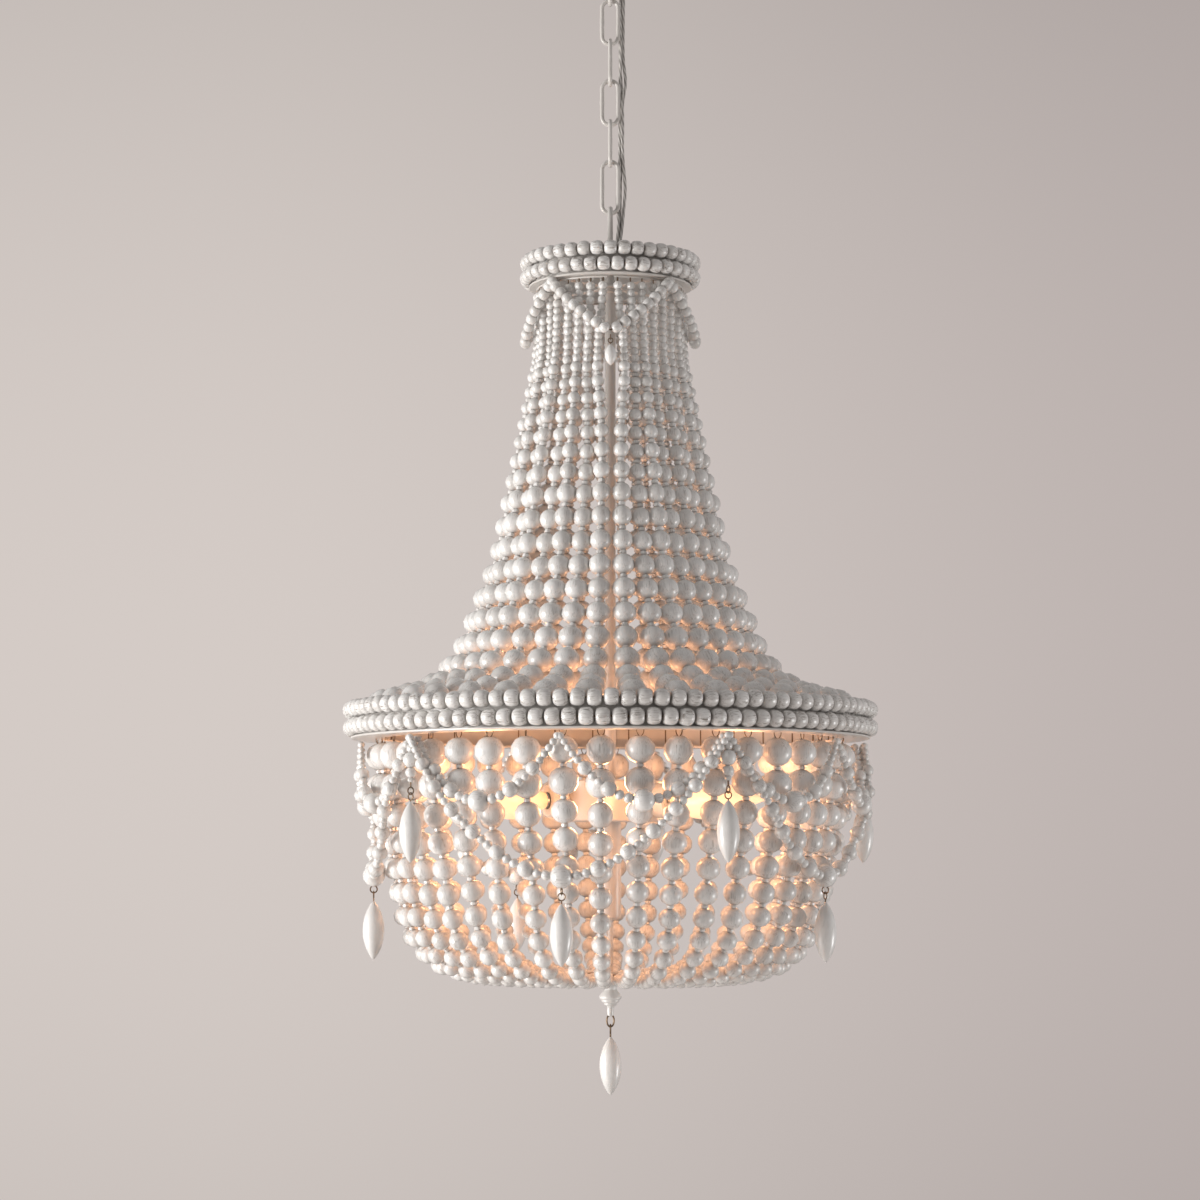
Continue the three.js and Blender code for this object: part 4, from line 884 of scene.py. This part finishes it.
def drop_parts(radius, azimuth, hang, ring, wire, upper, stalk, length, diameter, sides, narrow=1.0):
    """A turned olive on a stalk under its wire ring, which hangs in an upper one: its radius at a share t of
    its length is R (1 - (2t - 1)^2)^0.78, so that both ends come to a blunt point."""
    foot = on_circle(radius, azimuth, 0.0)
    middle = hang - 2 * upper + wire + gap - ring
    top = middle - ring - stalk
    t = (1 - np.cos(np.linspace(0, pi, 22))) / 2
    body = np.clip((1 - (2 * t - 1) ** 2) ** blunt, 0.05, 1)
    shank = foot + up * np.array([middle - ring, top - 1.0])[:, None]
    return [
        turned(np.column_stack([t * 2 - 1, body]), sides, foot + up * (top - length / 2), up, ahead, diameter,
               length, tone=0.1 + 0.3 * (azimuth % 1)),
        hoop(foot + up * middle, ring, wire, (facing(azimuth)[1], up), 8, 20, narrow, finish=1),
        tube(shank[None], wire / 2, 8, ahead, finish=1),
    ]


def fixed_ring(radius, azimuth, hang, ring, wire):
    """The wire ring that a drop hangs on, fast to the string above it."""
    plane = (facing(azimuth)[0], up)
    return hoop(on_circle(radius, azimuth, hang - ring), ring, wire, plane, 8, 20, finish=1)


def hung_olive(name, node, parts):
    """An olive's piece, on the body that swings with it."""
    piece(name, node, node, [smooth_wash, bronze], parts)


chance = np.random.default_rng(13)
crown_lows = [2 * pi * k / crown_swags for k in range(crown_swags)]
crown_lines = swag_lines(crown_lows, crown_low_radius, crown_hook_radius, crown_hook, crown_sag, bow=taut)
crown_parts = []
for side, line in enumerate(crown_lines):  # flat discs close together on one side, barrels on the other
    outward = unit(line[0] * (1.0, 1.0, 0.0))
    rows = strung(length_along(line)[-1] - string_gap, 1.2, lambda n, at: (
        crown_string_bead * chance.uniform(*crown_widths),
        crown_string_bead * (chance.uniform(*crown_discs), crown_pitch)[side % 2],
    ))
    rows[:, 3] *= (1.0, crown_barrel)[side % 2]
    crown_parts += bead_parts(rows, line, outward, chance, rows[:, 2] > 0, (round_bead, barrel)[side % 2])
    crown_parts.append(tube(line[None, ::2], wire_radius, 5, outward, finish=1))
crown_hang = crown_hook - crown_sag - crown_string_bead / 2 + 0.5
crown_eyelet = dict(ring=2.2, wire=1.0)
crown_drop = dict(crown_eyelet, upper=2.2, stalk=1.0, length=20.0, diameter=11.0, sides=20)
for k, low in enumerate(crown_lows[::crown_swags // crown_olives]):
    place = (crown_drop_radius, low, crown_hang)
    crown_parts.append(fixed_ring(*place, **crown_eyelet))
    hung_olive(f"crown_olive_{k + 1}", f"crown_drop_{k + 1}", drop_parts(*place, **crown_drop))
piece("crown_garland", "fixture", "top_garland", [whitewash, bronze], crown_parts)

# Short swags: ten scallops close under the large ring. A 20 mm bead lies lowest, and from there two
# small cut beads and a medium one alternate up to the hooks, which are the flange's.
swag_count = 5
swag_hook = ring_low[2] - gap - 3.3
short_drop = 57.8
short_low_radius, short_hook_radius = ring_radius - 15.0, ring_radius - 17.5
round_length, small_length = 0.94, 0.9  # shares of a swag bead's width
hook_stretch = 18.0  # next to a hook all beads are small


def swag_bead(low_bead, medium, small, shrink, total):
    """Sizes along half a swag: the low bead, then small, small, medium, all smaller towards the hook, where
    only small ones are left."""
    def bead(n, at):
        size = low_bead if n == 0 else (small if n % 3 or at > total - hook_stretch else medium)
        size *= 1 - shrink * at / total * (n > 0)
        return size, size * (small_length if n % 3 else round_length)
    return bead


chance = np.random.default_rng(14)
short_lows = bowl_first + pi / (2 * swag_count) + 2 * pi * np.arange(2 * swag_count) / (2 * swag_count)
short_lines = swag_lines(short_lows, short_low_radius, short_hook_radius, swag_hook, short_drop)
short_bead = swag_bead(low_bead=19.5, medium=15.4, small=9.4, shrink=0.3, total=96.0)
piece("short_swags", "fixture", "short_garland", [whitewash, bronze],
      swag_parts(short_lines, short_bead, chance))

# Long swags: five deep ones over the short ones, strung the same way, with a short string of five beads
# down from each hook. Each low bead and each string ends in the wire ring that an olive hangs on.
long_drop = 122.8
long_radius_shares = [(0, 0), (0.25, 0.08), (0.5, 0.32), (0.7, 0.83), (0.8, 0.96), (1, 1)]
low_radius = ring_radius - 30.0
peak_radius = ring_radius - 10.0
hook_radius = ring_radius - 8.3
string_length = 45.5
string_bend = 8.0  # height below the hook at which its wire turns down
eyelet = dict(ring=3.2, wire=1.2)
low_hang = swag_hook - long_drop - 10.0 + eyelet["wire"] / 2
peak_hang = swag_hook - string_length + eyelet["wire"] / 2
string_beads = [(7.0, 6.0), (8.0, 7.0), (14.5, 13.4), (10.0, 9.0), (6.0, 4.0)]  # width and length, hook down
string_places = 1.0 + np.cumsum([0.0] + [length for _, length in string_beads])  # where each bead starts
string_rows = np.array([
    (n, start + size[1] / 2, *size) for n, (start, size) in enumerate(zip(string_places, string_beads))
])
chance = np.random.default_rng(15)
lows = [bowl_first + 2 * pi * k / swag_count for k in range(swag_count)]
long_lines = swag_lines(lows, low_radius, hook_radius, swag_hook, long_drop, long_radius_shares)
long_bead = swag_bead(low_bead=20.5, medium=15.6, small=9.2, shrink=0.26, total=200.0)
long_parts = swag_parts(long_lines, long_bead, chance)
olive_shape = dict(eyelet, upper=eyelet["ring"], length=54.0, diameter=20.0, sides=28)
for k, low in enumerate(lows):
    peak = low - pi / swag_count
    outward, tangent = facing(peak)
    wire = [on_circle(hook_radius, peak, swag_hook), on_circle(peak_radius, peak, swag_hook - string_bend),
            on_circle(peak_radius, peak, peak_hang)]
    long_parts.append(tube([wire], wire_radius, 6, tangent, finish=1))
    drop_line = on_circle(peak_radius, peak, 0.0) + up * (swag_hook - np.linspace(0, string_length, 24))[:, None]
    long_parts += bead_parts(string_rows, drop_line, outward, chance, string_rows[:, 2] > cut_width)
    for name, place, stalk in (
        ("swag", (low_radius, low, low_hang), 2.4), ("peak", (peak_radius, peak, peak_hang), 1.0),
    ):
        long_parts.append(fixed_ring(*place, **eyelet))
        hung_olive(f"{name}_olive_{k + 1}", f"{name}_drop_{k + 1}", drop_parts(*place, stalk=stalk, **olive_shape))
piece("long_swags", "fixture", "long_garland", [whitewash, bronze], long_parts)

# Lamp drum: a white steel drum on the stem with three holes in its wall for the lampholders, and a thick
# sleeve below it that closes round the rod.
drum_radius = drum_high[0]
drum_height = 38.0
sleeve_radius = 10.0
drum_bottom = drum_high[2] - drum_height
drum_profile = [
    (drum_low[2], 2.8), (drum_low[2], 5.2), (drum_low[2] + 1.0, 7.6), (drum_low[2] + 2.6, 9.3),
    (drum_low[2] + 4.6, sleeve_radius), (drum_bottom, sleeve_radius), (drum_bottom, drum_radius - 1.2),
    (drum_bottom + 1.2, drum_radius), (drum_high[2] - 1.2, drum_radius), (drum_high[2], drum_radius - 1.2),
    (drum_high[2], 5.3), (drum_low[2] + 2.0, 5.3), (drum_low[2] + 2.0, 2.8),
]
piece("lamp_drum_shell", "fixture", "lamp_drum", [white_steel],
      [turned(drum_profile, 72, closed=True)])

# Lampholders: glazed white china cups on threaded necks, screwed into the drum's wall, each with a
# candle lamp of frosted glass screwed in. The lamps are lit.
cup_radius, cup_length, neck_radius, neck_inside = 16.0, 16.0, 6.0, 43.0
cap_radius, cap_depth, thread_depth, thread_pitch = 7.0, 10.0, 0.25, 3.2
lamp_count, lamp_first = 3, radians(-62)
glass_radius, glass_length, cap_shown = 17.5, 97.0, 3.0
lamp_height = drum_high[2] - drum_height / 2
cup_start = drum_radius + gap
cup_end = cup_start + cup_length
glass_shares = [
    (0, 0.42), (0.05, 0.52), (0.12, 0.74), (0.22, 0.94), (0.32, 1), (0.42, 0.99), (0.55, 0.86), (0.7, 0.6),
    (0.84, 0.32), (0.94, 0.14), (1, 0.02),
]

# Glazed china: fired clay under a clear glaze, hard white, very smooth.
clay_size = 6.0
china = clouded("glazed_white_china", {
    "Roughness": 0.18, "IOR": 1.5, "Coat Weight": 0.5, "Coat Roughness": 0.05,
}, clay_size, ("#F2EFE9", "#E4DFD6"))[0]

# Lit candle lamp: blown glass, frosted inside, so that the whole bulb glows warm white, yellower towards
# its cap.
lamp_glass, tree, shader = new_finish("lit_frosted_glass", {
    "Base Color": linear("#FFE9CC"), "Roughness": 0.25, "Emission Strength": 0.66,
})
grain = add(tree, "Attribute", {"attribute_name": "grain"})
axes = add(tree, "SeparateXYZ", links={0: grain.outputs["Vector"]})
hot = add(tree, "MapRange", values={"From Min": cup_end, "From Max": cup_end + 0.5 * glass_length},
          links={"Value": axes.outputs["Z"]})
colour = add(tree, "Mix", {"data_type": "RGBA"}, {6: linear("#FFB072"), 7: linear("#FFD2A6")},
             {0: hot.outputs[0]})
tree.links.new(colour.outputs[2], shader.inputs["Emission Color"])

cup_profile = [
    (neck_inside, neck_radius - 0.5), (neck_inside + 0.5, neck_radius), (cup_start, neck_radius),
    (cup_start, cup_radius - 1.5), (cup_start + 1.5, cup_radius), (cup_end - 1.5, cup_radius),
    (cup_end, cup_radius - 1.5), (cup_end, cap_radius + 1.0), (cup_end - 1.0, cap_radius + gap),
    (cup_end - cap_depth - gap, cap_radius + gap), (cup_end - cap_depth - gap, 0.5),
]
glass = smooth_line([
    (cup_end + cap_shown + share * glass_length, wide * glass_radius) for share, wide in glass_shares
], 2.5)
thread = cup_end - cap_depth + np.linspace(0, cap_depth + cap_shown, 40)
cap = np.column_stack([thread, cap_radius - thread_depth + thread_depth * np.cos(2 * pi * thread / thread_pitch)])
for k in range(lamp_count):
    lamp_axis = (up * lamp_height, facing(lamp_first + 2 * pi * k / lamp_count)[0], up)
    piece(f"china_cup_{k + 1}", "fixture", f"lamp_cup_{k + 1}", [china],
          [turned(cup_profile, 40, *lamp_axis)])
    piece(f"candle_lamp_{k + 1}", "fixture", f"candle_bulb_{k + 1}", [lamp_glass, zinc],
          [turned(glass, 40, *lamp_axis), turned(cap, 32, *lamp_axis, finish=1)])

# Hub: a steel plate with a boss, screwed on the rod, that the bowl's wires are drawn in on.
hub_profile = [
    (hub_low[2], 2.8), (hub_low[2], hub_high[0] - 0.6), (hub_low[2] + 0.6, hub_high[0]),
    (hub_plate - 0.6, hub_high[0]), (hub_plate, hub_high[0] - 0.6), (hub_plate, 15.0), (hub_plate + 1.0, 14.0),
    (hub_high[2] - 0.8, 14.0), (hub_high[2], 13.2), (hub_high[2], 2.8),
]
piece("hub_plate", "fixture", "bottom_hub", [white_steel], [turned(hub_profile, 64, closed=True)])

# Finial: one turned piece, a round bead over a ridged cone, with a screw eye under it. The last olive
# hangs there on two rings of heavier wire.
finial_length, finial_width = 30.0, 21.0
finial_ring, finial_wire = 5.6, 1.6
finial_top = hub_low[2] - gap
finial_shares = [
    (0, 0.2), (0.01, 0.42), (0.05, 0.56), (0.1, 0.6), (0.15, 0.56), (0.18, 0.54), (0.24, 0.68), (0.32, 0.88),
    (0.39, 0.98), (0.43, 1.0), (0.47, 0.96), (0.49, 0.86), (0.505, 0.8), (0.54, 0.8), (0.57, 0.74), (0.585, 0.64),
    (0.6, 0.58), (0.63, 0.59), (0.66, 0.52), (0.68, 0.4), (0.71, 0.33), (0.8, 0.3), (0.92, 0.31), (0.98, 0.26),
    (1, 0.1),
]
finial_profile = np.array([(-share * finial_length, wide * finial_width / 2) for share, wide in finial_shares])
finial_hang = finial_top - finial_length + 1.6
piece("turned_finial", "fixture", "finial", [smooth_wash, bronze], [
    turned(finial_profile[::-1], 40, up * finial_top),
    hoop(up * (finial_hang - finial_ring), finial_ring, finial_wire, (ahead, up), 12, 32, 0.6, finish=1),
])
hung_olive("last_olive", "bottom_drop", drop_parts(
    0.0, pi / 2, finial_hang, ring=3.9, wire=finial_wire, upper=finial_ring, stalk=3.1, length=54.0,
    diameter=20.4, sides=32, narrow=0.62,
))

# Floor: plain and pale, a metre below the last olive, so that the chandelier's soft shadow falls on it. To
# the camera it is a little lighter than its light makes it, like the surround.
floor_height = -2.2
floor_half = 8.6
floor_lift = 0.38
floor_mesh = bpy.data.meshes.new("floor")
floor_mesh.from_pydata([
    (x * floor_half, y * floor_half, floor_height) for x, y in ((-1, -1), (1, -1), (1, 1), (-1, 1))
], [], [(0, 1, 2, 3)])
floor = bpy.data.objects.new("floor", floor_mesh)
scene.collection.objects.link(floor)
floor_patch = 2000 / 3
floor_paint, tree, shader, colour = clouded("matt_floor_paint", {"Roughness": 0.9}, floor_patch,
                                            ("#D2C9C3", "#CBC2BC"))
rays = add(tree, "LightPath")
lift = add(tree, "Math", {"operation": "MULTIPLY"}, {1: floor_lift}, {0: rays.outputs["Is Camera Ray"]})
tree.links.new(colour.outputs[2], shader.inputs["Emission Color"])
tree.links.new(lift.outputs[0], shader.inputs["Emission Strength"])
floor_mesh.materials.append(floor_paint)

# Studio: a warm grey surround, lighter on the left, that the camera, glass and metal see. Everything
# else is lit by an even, dimmer white.
surround_left, surround_right = linear("#D4CBC6"), linear("#BCB2AF")
fill_strength = 0.37
world = bpy.data.worlds.new("studio")
scene.world = world
world.use_nodes = True
tree = world.node_tree
tree.nodes.clear()
place = add(tree, "TexCoord")
axes = add(tree, "SeparateXYZ", links={0: place.outputs["Generated"]})
side = add(tree, "MapRange", {"interpolation_type": "SMOOTHSTEP"}, {"From Min": -0.14, "From Max": 0.26},
           {"Value": axes.outputs["X"]})
hue = add(tree, "Mix", {"data_type": "RGBA"}, {6: surround_left, 7: surround_right}, {0: side.outputs[0]})
rise = add(tree, "Math", {"operation": "SUBTRACT"}, {1: 0.062}, {0: axes.outputs["Z"]})
squared = add(tree, "Math", {"operation": "MULTIPLY"}, links={0: rise.outputs[0], 1: rise.outputs[0]})
fade = add(tree, "MapRange", values={"From Max": 0.06, "To Min": 1.0, "To Max": 0.82},
           links={"Value": squared.outputs[0]})
seen = add(tree, "Background", links={"Color": hue.outputs[2], "Strength": fade.outputs[0]})
fill = add(tree, "Background", values={"Color": linear("#F4F2F0"), "Strength": fill_strength})
rays = add(tree, "LightPath")
looks = rays.outputs["Is Camera Ray"]
for kind in ("Is Glossy Ray", "Is Transmission Ray"):
    looks = add(tree, "Math", {"operation": "MAXIMUM"}, links={0: looks, 1: rays.outputs[kind]}).outputs[0]
both = add(tree, "MixShader", links={0: looks, 1: fill.outputs[0], 2: seen.outputs[0]})
add(tree, "OutputWorld", links={"Surface": both.outputs[0]})

# Studio lamps: a broad soft key at the left, lower than the ring, and a smaller, weaker one at the right for
# the highlights.


def light(name, kind, power, tint, spot):
    """A lamp of a kind at its spot, with its power and colour."""
    lamp = bpy.data.lights.new(name, kind)
    lamp.energy = power
    lamp.color = linear(tint)[:3]
    source = bpy.data.objects.new(name, lamp)
    source.location = spot
    scene.collection.objects.link(source)
    return lamp, source


aim = np.array([0.0, 0.0, -0.75])
for name, spot, size, power, tint in (
    ("key_softbox", (-2.6, -0.8, -1.2), 1.4, 86.0, "#FFFEFC"),
    ("right_softbox", (2.4, -0.34, -1.6), 0.7, 20.0, "#FFFFFF"),
):
    lamp, softbox = light(name, "AREA", power, tint, spot)
    lamp.shape = "SQUARE"
    lamp.size = size
    back = unit(np.array(spot) - aim)
    level = unit(np.cross(up, back))
    softbox.matrix_world = np.vstack([
        np.column_stack([level, np.cross(back, level), back, spot]), [0, 0, 0, 1],
    ]).T.tolist()

# The lamps' own light fills the bowl and the cone: three small warm sources between the bulbs.
glow_power, glow_size = 0.42, 0.02
glow_radius, glow_first, glow_height = 142.0, radians(-2), -838.0
for k in range(lamp_count):
    spot = on_circle(glow_radius, glow_first + 2 * pi * k / lamp_count, glow_height) * mm
    lamp, source = light(f"lamp_glow_{k + 1}", "POINT", glow_power, "#FFB278", spot)
    lamp.shadow_soft_size = glow_size
    source.visible_camera = False
